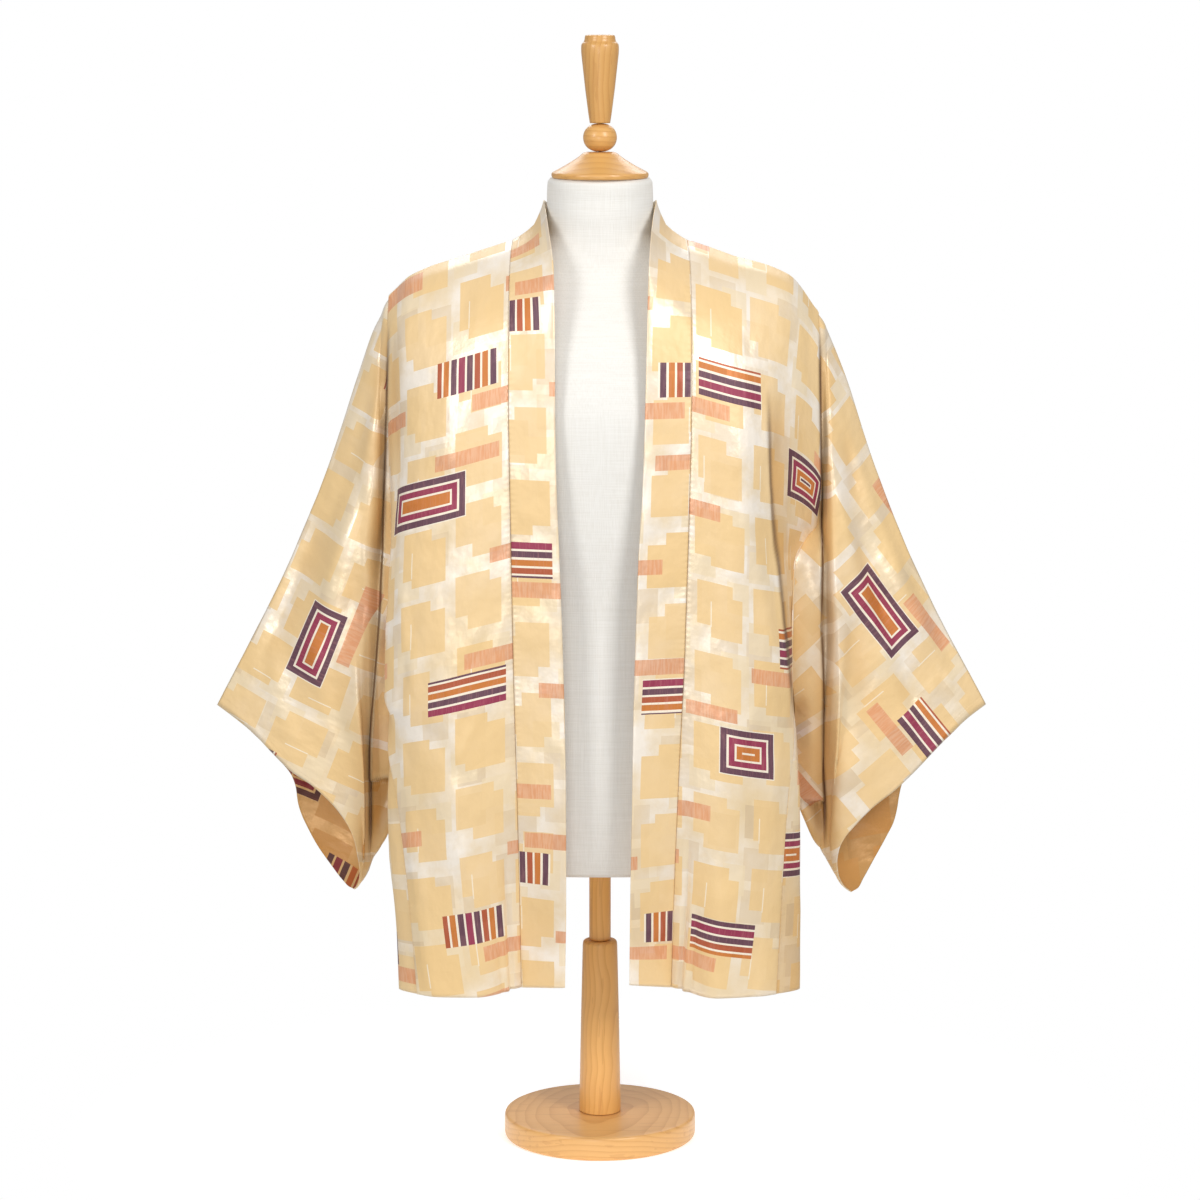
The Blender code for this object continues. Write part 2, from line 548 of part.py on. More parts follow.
# ------------------------------------------------------------ form and stand
def form_body(home):
    """The padded torso: superellipse levels lofted and closed at both ends."""
    heights = np.array(FORM)[:, 0]
    chest = int(np.searchsorted(heights, CHEST_Z))
    trunk = np.linspace(heights[1], CHEST_Z, FORM_LEVELS)
    levels = np.concatenate([heights[:1], trunk, heights[chest + 1:]])
    shape = {name: column[:, None] for name, column in sections(FORM_COLUMNS, FORM, levels).items()}
    turn = np.linspace(0, 2 * math.pi, FORM_ROUND, endpoint=False)
    power = 2 / shape["power"]
    cos, sin = np.cos(turn)[None], np.sin(turn)[None]
    x = shape["half_width"] * np.sign(cos) * np.abs(cos) ** power
    y = shape["middle_y"] + shape["half_depth"] * np.sign(sin) * np.abs(sin) ** power
    z = np.broadcast_to(levels[:, None], x.shape)
    mesh = grid_mesh("form_torso", np.stack([x, y, z], -1), True)
    shell = bmesh.new()
    shell.from_mesh(mesh)
    bmesh.ops.holes_fill(shell, edges=[e for e in shell.edges if e.is_boundary], sides=0)
    bmesh.ops.recalc_face_normals(shell, faces=shell.faces)
    shell.to_mesh(mesh)
    shell.free()
    return add("form_torso", mesh, "linen", home)


def ball_profile():
    """Half outline of the ball, radius = BALL_RADIUS * sine ** BALL_ROUND of the turn."""
    turn = np.linspace(0, math.pi, BALL_STEPS + 1)
    radius = BALL_RADIUS * np.clip(np.sin(turn), 0, None) ** BALL_ROUND
    radius[[0, -1]] = 0.0
    height = BALL_MIDDLE_Z + BALL_HALF_HEIGHT * np.cos(turn)
    return np.stack([radius, height], 1).tolist()


def stand(home):
    """The wooden stand under the form and the turned finial over it."""
    flat = BASE_RADIUS - BASE_EDGE
    base = ((0.0, BASE_HEIGHT), (flat, BASE_HEIGHT), (BASE_RADIUS, BASE_HEIGHT - BASE_EDGE),
            (BASE_RADIUS, BASE_EDGE), (flat, 0.0), (0.0, 0.0))
    rod_top = FORM_BOTTOM_Z - GAP
    rod = ((0.0, rod_top), (ROD_RADIUS, rod_top), (ROD_RADIUS, ROD_FOOT_Z), (0.0, ROD_FOOT_Z))
    turned("base_disc", base, "wood", home)
    turned("tapered_post", POST, "wood", home)
    turned("upper_rod", rod, "wood", home)
    turned("neck_cap", CAP, "wood", home)
    turned("finial_ball", ball_profile(), "wood", home)
    turned("finial_handle", HANDLE, "wood", home)


def main():
    for obj in list(bpy.data.objects):
        bpy.data.objects.remove(obj)
    home = bpy.data.collections.new("haori_on_dress_form")
    bpy.context.scene.collection.children.link(home)
    body_panel("body_panel_right", -1, FRONT_RIGHT, home)
    body_panel("body_panel_left", 1, FRONT_LEFT, home)
    gusset("side_gusset_right", -1, FRONT_RIGHT, "right", home)
    gusset("side_gusset_left", 1, FRONT_LEFT, "left", home)
    collar(home)
    sleeve("sleeve_right", -1, SLEEVE_RIGHT, FOLDS_RIGHT, FRONT_RIGHT, TUCK_RIGHT, home)
    sleeve("sleeve_left", 1, SLEEVE_LEFT, FOLDS_LEFT, FRONT_LEFT, TUCK_LEFT, home)
    form_body(home)
    stand(home)


main()
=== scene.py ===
"""A haori of printed silk satin on a linen-covered dress form with a beech stand.

The cloth pieces are worked out on fine grids from the same short tables of
sections as the solids, with the creases, the seams and the rolled edges added.
Metres, +Z up, the open front faces -Y and the wearer's left is +X.
"""
import math

import bpy
import numpy as np
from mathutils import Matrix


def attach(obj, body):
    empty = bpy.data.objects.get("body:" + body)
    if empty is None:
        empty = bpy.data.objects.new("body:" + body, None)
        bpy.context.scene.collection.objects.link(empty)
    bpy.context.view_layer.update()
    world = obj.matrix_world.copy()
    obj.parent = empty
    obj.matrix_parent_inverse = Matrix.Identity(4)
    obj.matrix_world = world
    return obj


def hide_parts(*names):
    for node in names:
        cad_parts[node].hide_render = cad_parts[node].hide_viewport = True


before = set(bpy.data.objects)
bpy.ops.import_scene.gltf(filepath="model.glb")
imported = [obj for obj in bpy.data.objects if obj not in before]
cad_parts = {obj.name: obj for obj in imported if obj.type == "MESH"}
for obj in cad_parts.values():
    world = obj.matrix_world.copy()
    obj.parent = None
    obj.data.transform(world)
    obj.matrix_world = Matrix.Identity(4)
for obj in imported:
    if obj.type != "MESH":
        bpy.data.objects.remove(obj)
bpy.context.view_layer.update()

# --- camera and light
CAMERA_PLACE = (0.0, -3.86662, 1.20635)
CAMERA_TURN = (math.radians(80.63), 0.0, 0.0)
CAMERA_LENS = 114.33
SENSOR_WIDTH = 36.0

# name, place, point it faces, width and height, watts
LAMPS = (
    ("key_softbox", (1.6, -2.1, 2.3), (0.0, 0.0, 0.6), (0.9, 1.3), 50.0),
    ("fill_softbox", (-1.8, -2.0, 2.0), (0.0, 0.0, 0.6), (0.7, 1.3), 31.0),
    ("front_softbox", (-0.5, -3.9, 0.9), (0.0, 0.0, 0.6), (0.9, 1.1), 21.0),
    ("back_softbox", (0.0, 2.4, 2.4), (0.0, 0.0, 0.62), (2.4, 1.2), 30.0),
)
WORLD_SEEN = 1.0  # brightness of the world as the camera sees it
WORLD_LIGHT = 0.42  # and as it lights the pieces
FLOOR_GLOW = 0.42
FLOOR_REACH = 0.6  # half the floor's side, where it has faded out

# --- sizes of the cloth
CLOTH = 0.0012  # thickness of body, gusset and sleeve cloth
BAND = 0.0015  # thickness of the folded collar band
LAP = 0.0014  # how far a side piece's edges lie under the panel's
ARM_STEP = -0.0014  # the sleeve starts just inside the panel's armhole edge
ARM_BEHIND = 0.001  # and just behind it
ARM_LOW_Z = 0.45  # below this height the sleeve leaves the panel's edge
ARM_LOW_FADE = 0.06
MEET_RIGHT_Z = 0.53  # the same height for the right sleeve
NECK_HOLLOW = 0.0065  # the band is drawn in beside the neck, this far from its middle
NECK_AT = 0.125  # and this far along from it at the deepest
NECK_REACH = 0.055
SHOULDER_NECK_X = 0.088  # where the shoulder's slope starts
SHOULDER_NECK_Z = 0.937
SHOULDER_TIP_X = 0.2167  # where its round tip ends
SHOULDER_SLOPE = 0.33
SHOULDER_ROUND = 0.017  # how far the tip comes down
SHOULDER_POWER = 12  # and the power that keeps this near the tip
CREST_Y = 0.008  # depth of the shoulder fold
HEM_Z = 0.181  # height of the hem in front
HEM_RISE = 0.066  # and how much higher it is behind
HEM_RISE_FROM_Y = -0.05
HEM_RISE_TO_Y = 0.125
PANEL_DOWN = 0.745  # length of a body panel from shoulder fold to hem
SLANT = 0.5  # how far the weft keeps the shoulder's slope down to the hem

FRONT_ROWS = 210  # grid lines of the fine grids
BACK_ROWS = 150
PANEL_ACROSS = 104
PANEL_CROWD = 1.35  # crowds the panel's lines towards the armhole
SLEEVE_ALONG = 180
SLEEVE_HALF = 104
COLLAR_ROUND = 28
GUSSET_ACROSS = 26
GUSSET_ROWS = 120

FORM_ROUND = 128  # points round each level of the form
TURN_STEPS = 144  # and round each turned piece
LATTICE = 96  # numbers along each side of a ripple's lattice
LATTICE_COS = 0.96  # and the cosine and sine of its turn
LATTICE_SIN = 0.28
LATTICE_FROM = 40  # a place in it far from its border

DOWN_CROWD = 1.3  # crowds the panel's rows towards the shoulder
ALONG_CROWD = 1.6  # and the sleeve's towards the armhole
CREASE_END = 0.25  # share of a crease over which it is eased in at either end
CREASE_LEAD = 0.3  # and the share of that ease reached at its very end
FOLD_START = 0.07  # length in metres over which a fold is eased in at its top
FOLD_END = 0.06  # and at its end
ROLL_END = 0.006  # height over which the far side's step under the roll ends
FAR = 9.0  # further than any point lies from a fold

# Ripples of each piece: height, size and seed.
PANEL_RIPPLES = ((0.00055, 0.034, 3), (0.0003, 0.015, 9))
GUSSET_RIPPLES = ((0.0004, 0.03, 21),)
BAND_RIPPLES = ((0.0005, 0.02, 31), (0.0004, 0.045, 32))
SLEEVE_RIPPLES = ((0.0006, 0.036, 41), (0.0003, 0.016, 45))

PANEL_CALM = 0.012  # the ripples die away this close to a seam
GUSSET_CALM = 0.01
SEAM_DIP = 0.0005  # a seam lies this much lower
SEAM_REACH = 0.0018
PANEL_TOP_FADE = 0.05  # length below the shoulder over which folds start
LAP_REACH = 0.005  # width of a side piece's dip under the panel
GUSSET_PAINTED_SHADE = 0.5  # painted golden shade where a side piece's rows begin
GUSSET_PAINTED_SHADE_TO = 0.66  # the drop where it has gone
GUSSET_PAINTED_SHADE_FADE = 0.25

BAND_FORE = 230  # rows of the band in front
BAND_AFT = 26  # and behind
BAND_CROWD = 1.25  # crowds the rows in front towards the shoulder
BAND_BACK_DROP = 0.032  # drop at which the band crosses the centre back
BAND_FLAT = 0.75  # powers of the cosine and sine of its squared oval
BAND_SQUARE = 0.28
BAND_TUCK = 0.0002  # how far its seam edge lies under the panel's edge
BAND_LIFT = 0.0008  # and how far it stands off
BAND_CALM_SEAM = 0.006  # its waves die away this close to its seam
BAND_CALM_FREE = 0.004  # and to its free edge
HOLLOW_POWER = 0.8  # power of the hollow's wave across the band
HEM_FAR = 0.5  # further from the hem counts as this far
WELD = 0.00001  # points at the band's ends this close become one

STEP_SOFT = 1.2  # the fade's power low on the armhole
STEP_FADE = 0.08  # height over which it grows to its power high up
ARM_DOWN = 0.7  # drop down to which the armhole's edge is followed
ARM_ROWS = 140  # and the places on the way
SLEEVE_CALM = 0.02  # ripples die away this close to the top fold
ARM_CALM = 0.06  # and over this share of the length at the armhole
CUFF_LEFT = 0.35  # share of them that is left at the cuff
TOP_FADE = 12  # columns over which the folds fade out at the top fold
LOW_FADE = 14  # and at the bottom fold
SLEEVE_LONG = 0.45  # a sleeve's length in metres

CORNER = 0.0016  # rounding of the turned pieces' corners
BALL_CORNER = 0.0002
CORNER_SHARE = 0.3  # the most of a profile's side that a corner takes
SPAN_STEPS = 4  # rings to each side of a profile
LEVEL_STEPS = 9  # levels between two rows of the form, both counted
BALL_END = 0.06  # the ball's profile starts and ends this turn from its poles
BALL_RADIUS = 0.0171
BALL_Z = 1.0409
BALL_HALF = 0.0142  # half its height
BALL_STEPS = 18  # points of its profile
BALL_POWER = 0.8  # power of the sine in it


def small(rows):
    """A table written in ten-thousandths: each whole number in it divided by 10000."""
    if isinstance(rows, tuple):
        return tuple(small(row) for row in rows)
    return rows / 10000 if isinstance(rows, int) else rows


def fold(line, outside, inside=None, painted_shade=0, painted_shade_out=(100, 0), painted_shade_in=(100, 0)):
    """A row of the tables of folds, by small. The side towards the body is like the other one
    unless it is given, and there is no painted shade unless it is given."""
    return small((line, outside, inside or outside, painted_shade, painted_shade_out, painted_shade_in))


PANEL_COLUMNS = ("drop", "inner_x", "inner_y", "lobe_x", "lobe_y",
                 "turn_x", "turn_y", "edge_x", "edge_y")
FRONT_RIGHT = small((
    (0, 880, 80, 1300, 80, 1900, 80, 2150, 80),
    (120, 890, -240, 1300, -200, 1900, -120, 2150, 0),
    (450, 900, -580, 1300, -510, 1920, -360, 2152, -200),
    (1000, 905, -900, 1300, -820, 1960, -540, 2150, -290),
    (1700, 905, -1080, 1320, -1020, 2000, -620, 2145, -330),
    (2400, 900, -1170, 1340, -1130, 2030, -680, 2140, -330),
    (3180, 890, -1210, 1360, -1190, 2070, -740, 2120, -280),
    (4000, 880, -1220, 1380, -1220, 2130, -800, 2080, -400),
    (5600, 860, -1220, 1400, -1260, 2170, -840, 2120, -520),
    (6400, 845, -1220, 1400, -1280, 2000, -1020, 2150, -800),
    (7200, 830, -1210, 1400, -1300, 1900, -1100, 2055, -960),
    (8600, 810, -1070, 1320, -1300, 1750, -1190, 1940, -1070),
    (10000, 800, -840, 1280, -1270, 1650, -1230, 1860, -1120),
))
FRONT_LEFT = small((
    (0, 880, 80, 1300, 80, 1900, 80, 2225, 80),
    (120, 890, -240, 1300, -200, 1880, -120, 2225, 10),
    (450, 900, -580, 1300, -510, 1840, -360, 2225, -160),
    (1000, 905, -900, 1300, -820, 1780, -600, 2230, -240),
    (1700, 905, -1080, 1300, -1020, 1730, -780, 2240, -280),
    (2400, 900, -1170, 1300, -1130, 1710, -880, 2245, -270),
    (3180, 885, -1210, 1300, -1190, 1720, -920, 2220, -160),
    (3600, 878, -1220, 1300, -1210, 1740, -920, 2100, -220),
    (4000, 870, -1220, 1300, -1220, 1770, -920, 1985, -440),
    (4800, 853, -1220, 1300, -1240, 1860, -910, 1965, -560),
    (5600, 835, -1220, 1300, -1260, 1915, -920, 1955, -690),
    (6400, 805, -1220, 1280, -1280, 1800, -1060, 1960, -880),
    (7200, 780, -1210, 1240, -1300, 1720, -1140, 1900, -1000),
    (8600, 745, -1070, 1220, -1300, 1660, -1200, 1840, -1070),
    (10000, 725, -840, 1200, -1270, 1600, -1220, 1790, -1120),
))
BACK = small((
    (0, 880, 80, 1300, 80, 1900, 80, 2150, 2225, 80),
    (100, 800, 400, 1300, 360, 1900, 240, 2150, 2225, 125),
    (220, 500, 660, 1250, 550, 1900, 360, 2150, 2225, 170),
    (320, 0, 780, 1000, 700, 1900, 450, 2150, 2225, 210),
    (1100, 0, 1010, 1000, 1000, 1900, 680, 2150, 2235, 340),
    (2100, 0, 1150, 1000, 1180, 1920, 820, 2145, 2240, 350),
    (3180, 0, 1220, 1000, 1260, 1940, 880, 2120, 2210, 120),
    (3600, 0, 1240, 1000, 1280, 1930, 890, 2070, 2080, 20),
    (4000, 0, 1260, 1000, 1300, 1900, 900, 2010, 1980, -40),
    (5600, 0, 1300, 1000, 1340, 1870, 920, 1930, 1930, -120),
    (7800, 0, 1330, 1100, 1380, 1890, 960, 1960, 1960, -220),
    (10000, 0, 1350, 1150, 1400, 1920, 980, 2030, 2030, -320),
))
GUSSET_COLUMNS = ("drop", "right_x", "right_y", "left_x", "left_y")
GUSSET = small((
    (3300, 2118, -100, 2180, -40), (3600, 2085, -120, 2085, -100),
    (4000, 2050, -200, 1985, -180), (4800, 2040, -260, 1965, -300),
    (5600, 2050, -320, 1945, -420), (6400, 2100, -500, 1990, -720),
    (7200, 2155, -800, 2022, -830), (8000, 2140, -850, 2030, -850),
    (9000, 2075, -880, 2035, -870), (10000, 2050, -890, 2035, -880),
))
GUSSET_TOP = 0.345
# Free folded edge of the collar band: x, y and z beside each section.
FREE_RIGHT = small((
    (562, 80, 9775), (515, -400, 9560), (455, -790, 9150), (444, -1010, 8650),
    (440, -1150, 8080), (437, -1210, 7540), (425, -1240, 6940), (400, -1250, 6330),
    (360, -1260, 5120), (346, -1280, 4520), (337, -1300, 3920), (335, -1280, 2860),
    (350, -1080, 1870),
))
FREE_LEFT = small((
    (562, 80, 9775), (515, -400, 9560), (478, -790, 9150), (463, -1010, 8650),
    (450, -1150, 8080), (436, -1210, 7540), (415, -1240, 6940), (397, -1250, 6630),
    (380, -1250, 6330), (358, -1250, 5720), (340, -1260, 5120), (325, -1280, 4520),
    (318, -1300, 3920), (300, -1280, 2860), (292, -1080, 1900),
))
FREE_BACK = small((
    (562, 80, 9775), (535, 400, 9735), (340, 620, 9675), (0, 720, 9620),
))
SLEEVE_COLUMNS = ("along", "top_x", "top_z", "knee_x", "knee_z", "bottom_x", "bottom_z",
                  "front", "back", "low", "pull_front", "pull_back")
SLEEVE_RIGHT = small((
    (0, 2174, 8780, 2170, 6400, 2165, 3500, 360, 440, 4500, 0, 0),
    (1000, 2215, 8630, 2265, 6000, 2270, 3115, 470, 530, 4500, 0, 0),
    (2000, 2300, 8460, 2360, 5650, 2360, 2960, 530, 570, 5000, 0, 0),
    (3600, 2470, 7980, 2455, 5450, 2410, 2830, 550, 590, 5600, 20, 0),
    (5600, 2755, 7120, 2610, 5150, 2460, 2740, 540, 580, 6000, 80, 30),
    (7800, 3225, 5990, 2935, 4500, 2520, 2660, 500, 550, 6400, 200, 80),
    (10000, 3935, 4605, 3320, 3750, 2560, 2610, 480, 500, 6800, 350, 140),
))
SLEEVE_LEFT = small((
    (0, 2249, 8622, 2248, 6450, 2235, 3650, 300, 440, 4200, 0, 0),
    (1000, 2300, 8480, 2315, 6100, 2295, 3085, 440, 530, 4500, 0, 0),
    (2000, 2360, 8340, 2385, 5700, 2350, 2975, 520, 570, 5000, 0, 0),
    (3600, 2515, 7950, 2480, 5450, 2400, 2880, 540, 590, 5600, 20, 0),
    (5600, 2790, 7120, 2640, 5200, 2450, 2780, 530, 580, 6000, 60, 30),
    (7800, 3290, 5920, 2950, 4450, 2510, 2680, 500, 550, 6400, 140, 80),
    (10000, 3982, 4610, 3350, 3750, 2590, 2590, 480, 500, 6800, 260, 140),
))
DEPTH_POWER = 0.62  # power of the sleeve's wave from front to back
KNEE_SHARE = 0.45  # share of the way down at which a sleeve's line bends
PULL_LOW = 0.72  # share of the way down at which the cuff is drawn up most
TUCK_FROM_Z = 0.662  # below this height the sleeve is tucked in beside the body
TUCK_FULL_Z = 0.585  # and here it is wholly
TUCK_ALONG = 0.1  # share of the sleeve's length that is tucked
TUCK_RIGHT = 0.007
TUCK_LEFT = 0.0235
STEP_POWER = 3  # the fade's power high on the armhole
TOP_CROWDING = 0.35  # how far the sleeve's lines crowd at both folds
FOLD_FADE = 0.12  # share of the way up from the bottom over which folds fade
FOLDS_RIGHT = ((0.6, 0.16, -0.006, 0.3, 0.6),)
FOLDS_LEFT = ((0.62, 0.12, 0.006, 0.25, 0.55),)

# Sleeve mouths: share of the way from the top fold to the bottom, x beside, y, z.
MOUTH_RIGHT_FRONT = small((
    (0, 3958, 80, 4568), (990, 3750, -80, 4452), (1940, 3555, -220, 4323),
    (2810, 3385, -300, 4161), (3910, 3160, -370, 3955), (4690, 2974, -410, 3838),
    (5450, 2810, -430, 3696), (6080, 2689, -430, 3559), (6750, 2589, -410, 3397),
    (7350, 2532, -370, 3241), (8050, 2503, -300, 3056), (8720, 2488, -210, 2886),
    (9380, 2508, -100, 2732), (10000, 2564, 30, 2626),
))
MOUTH_RIGHT_BACK = small((
    (0, 3958, 80, 4568), (1280, 3740, 240, 4357), (2530, 3529, 350, 4123),
    (3670, 3339, 420, 3895), (4410, 3230, 450, 3739), (4910, 3190, 460, 3608),
    (5470, 3172, 460, 3458), (5970, 3135, 450, 3332), (6580, 3067, 440, 3183),
    (7390, 2962, 410, 2997), (8210, 2833, 340, 2830), (9110, 2690, 220, 2676),
    (9620, 2611, 120, 2625), (10000, 2564, 30, 2626),
))
MOUTH_LEFT_FRONT = small((
    (0, 3990, 80, 4575), (930, 3795, -60, 4459), (1870, 3600, -180, 4304),
    (2740, 3423, -270, 4144), (3440, 3283, -320, 4003), (4680, 3018, -390, 3761),
    (5530, 2819, -420, 3610), (6480, 2624, -430, 3412), (7080, 2516, -420, 3273),
    (7540, 2464, -390, 3151), (8070, 2446, -340, 3006), (8680, 2465, -250, 2849),
    (9380, 2529, -130, 2697), (10000, 2616, 0, 2601),
))
MOUTH_LEFT_BACK = small((
    (0, 3990, 80, 4575), (1020, 3820, 200, 4408), (2180, 3629, 310, 4184),
    (3380, 3409, 390, 3955), (4340, 3240, 440, 3773), (4910, 3165, 460, 3644),
    (5330, 3140, 460, 3529), (5820, 3120, 450, 3396), (6350, 3087, 440, 3259),
    (7000, 3009, 420, 3102), (7940, 2883, 360, 2886), (8830, 2765, 250, 2705),
    (9490, 2685, 120, 2609), (10000, 2616, 0, 2601),
))
MOUTH_FROM = 0.3  # share of the sleeve's length where its mouth starts to shape it

# Folds seen from the front. A row is the line as x beside and z; reach and depth towards the
# cuff; the same towards the body; how strong the painted shadow line along the fold's line is;
# reach and share of the painted golden shade towards the cuff; the same towards the body. Where
# the two depths differ, one side laps over the other.
ARM_LINE_RIGHT = small((
    (2120, 8700), (2150, 8000), (2170, 7290), (2193, 6780), (2211, 6270), (2231, 5760),
    (2271, 5240), (2317, 4720), (2353, 4200), (2368, 3680), (2390, 2700),
))
ARM_LINE_LEFT = small((
    (2222, 8700), (2228, 8000), (2234, 7600), (2245, 7190), (2257, 6780), (2264, 5960),
    (2283, 5140), (2301, 4310), (2322, 3680), (2350, 2800),
))
FOLDS_FRONT_RIGHT = (
    fold(ARM_LINE_RIGHT[:6], (110, 60), (30, 10), 0.95, (130, 6500)),
    fold(((2490, 7000), (2562, 6520), (2691, 5900), (2778, 5440), (2853, 5100), (2980, 4550)),
         (210, -105), (190, -105)),
    fold(((2900, 6900), (3050, 6200), (3250, 5600), (3500, 4950)), (170, 65), (190, 65),
         painted_shade_in=(190, 2000)),
    fold(((2380, 6400), (2480, 5600), (2560, 4900), (2600, 4200)), (120, 20), (140, 20),
         painted_shade_out=(140, 1500), painted_shade_in=(180, 1500)),
    fold(((2240, 8000), (2300, 7400), (2420, 7000)), (60, -35)),
    fold(((2210, 7400), (2300, 6900), (2480, 6550)), (70, -40)),
    fold(((2055, 8700), (2060, 8100), (2075, 7600), (2050, 7000)), (55, 28), (80, 28),
         painted_shade_out=(60, 4500), painted_shade_in=(80, 4500)),
)
FOLDS_FRONT_LEFT = (
    fold(ARM_LINE_LEFT[:7], (100, 60), (40, 0), 1.0, (110, 6500)),
    fold(ARM_LINE_LEFT[5:], (110, 50), (120, 30), 1.0, (100, 5000), (110, 6000)),
    fold(((1672, 8000), (1683, 7570), (1712, 7110), (1765, 6400), (1838, 5700), (1914, 5000),
          (1985, 4450)), (240, 110), (60, -20), 0.85, (260, 8000)),
    fold(((2440, 7700), (2560, 7000), (2700, 6500)), (70, 45), painted_shade_out=(80, 3000),
         painted_shade_in=(80, 3000)),
    fold(((2380, 7350), (2460, 6750), (2640, 6000)), (80, -50)),
    fold(((2520, 6550), (2750, 5900), (3020, 5250)), (100, 50), painted_shade_out=(100, 3000),
         painted_shade_in=(100, 3000)),
    fold(((2800, 6400), (3150, 5600), (3480, 5000)), (150, -80)),
    fold(((2450, 5900), (2620, 5000), (2800, 4200)), (170, 45), (150, 45), painted_shade_out=(140, 3000),
         painted_shade_in=(140, 3000)),
    fold(((3000, 5200), (3200, 4700), (3380, 4300)), (120, 50), (140, 50), painted_shade_in=(140, 2000)),
)
# The same for the right sleeve alone: its lower fold and the rolled edge beside the body.
ROLL_FOLDS_RIGHT = (
    fold(ARM_LINE_RIGHT[3:], (140, 40), (80, -50), 1.0, (150, 4000)),
    fold(((2100, 6200), (2100, 5600), (2100, 4800), (2110, 3500)), (170, -110)),
)
ROLL_LOW_RIGHT = 0.385  # the rolled edge beside the body ends at this height
ROLL_LOW_LEFT = 0.358
ROLL_DEPTH = 0.016  # and the sleeve's far side lies this much deeper below it, with painted shade on it
ROLL_ALONG = 0.02  # share of the sleeve's length over which its own folds rise
PAINTED_TROUGH_SHADE = 0.4  # painted golden shade in the deepest troughs behind
TROUGH_DEEP = 0.004  # and the depth that has it
CRISP = 0.0018  # width of the step where one side of a fold laps over the other
STEP_SLOPE = 0.4  # and a deep step is at least this many times as wide as it is deep
PAINTED_CREVICE_WIDTH = 0.0019  # half width of the painted shadow line along a fold

FORM_COLUMNS = ("z", "half_width", "half_depth", "middle_y", "power")
FORM = small((
    (2970, 1440, 930, 40, 24000), (3010, 1480, 970, 40, 24000), (3800, 1540, 1020, 40, 24000),
    (4800, 1500, 980, 20, 24000), (5600, 1480, 960, 0, 24000), (6600, 1560, 1040, -20, 24000),
    (7600, 1680, 1100, -20, 23000), (8200, 1790, 1010, 20, 22000), (8500, 1900, 890, 50, 21000),
    (8700, 1960, 780, 70, 20000), (8850, 1880, 690, 90, 20000), (8980, 1650, 610, 100, 20000),
    (9100, 1280, 560, 110, 20000), (9200, 980, 540, 110, 20000), (9320, 720, 530, 110, 20000),
    (9480, 560, 525, 100, 21000), (9680, 538, 520, 80, 21000), (9780, 538, 520, 80, 21000),
    (9960, 530, 510, 60, 21000), (10000, 505, 485, 60, 21000),
))

# Creases laid on each piece, in the piece's own cloth metres: across and down of the two ends,
# half width and height (a trough is below nothing).
CREASES_FRONT_RIGHT = small((
    (960, 6000, 940, 8000, 35, -26), (1040, 6500, 1010, 8000, 40, 12),
    (1110, 6800, 1080, 8000, 30, -8), (2280, 1000, 2220, 3600, 90, -22),
    (2100, 3000, 1900, 4200, 80, 16), (1900, 3400, 2150, 4700, 60, -12),
    (1200, 3600, 1650, 4300, 100, 10), (1750, 4600, 1200, 5500, 110, -12),
    (1500, 2000, 1460, 4400, 180, -12), (1050, 4300, 1500, 5000, 70, 9),
    (2000, 5500, 1900, 7400, 140, 16), (1500, 6000, 1480, 7600, 200, -20),
))
CREASES_FRONT_LEFT = small((
    (900, 5800, 850, 8000, 35, -26), (970, 6400, 920, 8000, 40, 14),
    (1040, 6600, 1000, 8000, 30, -8), (2050, 800, 1800, 3000, 120, -18),
    (1500, 2600, 1850, 4000, 90, 14), (1100, 3000, 1700, 4400, 110, -12),
    (1700, 4200, 1200, 5200, 90, 10), (1400, 5000, 1700, 6000, 100, -10),
    (1500, 1200, 1420, 3000, 180, 12), (1800, 5800, 1720, 7600, 120, -14),
    (1350, 6200, 1320, 7600, 180, 18),
))
CREASES_BACK = small((
    (300, -1000, 360, -5500, 150, 40), (850, -1600, 800, -6200, 180, -48),
    (1400, -1000, 1500, -4800, 140, 44), (1850, -800, 2000, -3000, 100, -36),
    (600, -4600, 1200, -6600, 120, 30), (1700, -4000, 1300, -6600, 140, -36),
    (200, -5500, 220, -7600, 100, -32), (2150, -3400, 1800, -6000, 120, 30),
))
# On a sleeve, across is the way from the armhole to the cuff along the top fold
# and down the way from the top fold; behind it is less than nothing.
CREASES_SLEEVE_RIGHT = small((
    (1000, 550, 3600, 750, 110, 22), (600, 300, 3000, 400, 100, -14),
    (3000, 600, 4400, 1500, 100, -18), (2000, 1200, 4200, 1900, 120, 20),
    (3600, 200, 4600, 1000, 120, 14), (1200, 1500, 4000, 2350, 110, -20),
    (1000, -400, 4000, -600, 140, 20), (1600, -900, 4400, -1400, 140, -22),
    (2000, -1500, 4400, -2100, 140, 18),
))
CREASES_SLEEVE_LEFT = small((
    (800, 300, 4200, 300, 80, 16), (1000, 550, 3400, 600, 100, -16),
    (2000, 750, 4500, 950, 120, 22), (1600, 1100, 4200, 1500, 100, -18),
    (2600, 1500, 4500, 1900, 120, 18), (1000, -500, 4000, -500, 140, 20),
    (1400, -1000, 4400, -1200, 140, -22), (2200, -1600, 4400, -2000, 140, 18),
))
CREASES_BAND = small((
    (300, 6200, 240, 8400, 50, -8), (120, 3000, 340, 3600, 60, 7),
    (100, 5200, 360, 5500, 60, -7), (360, 500, 200, 1600, 70, -12)))


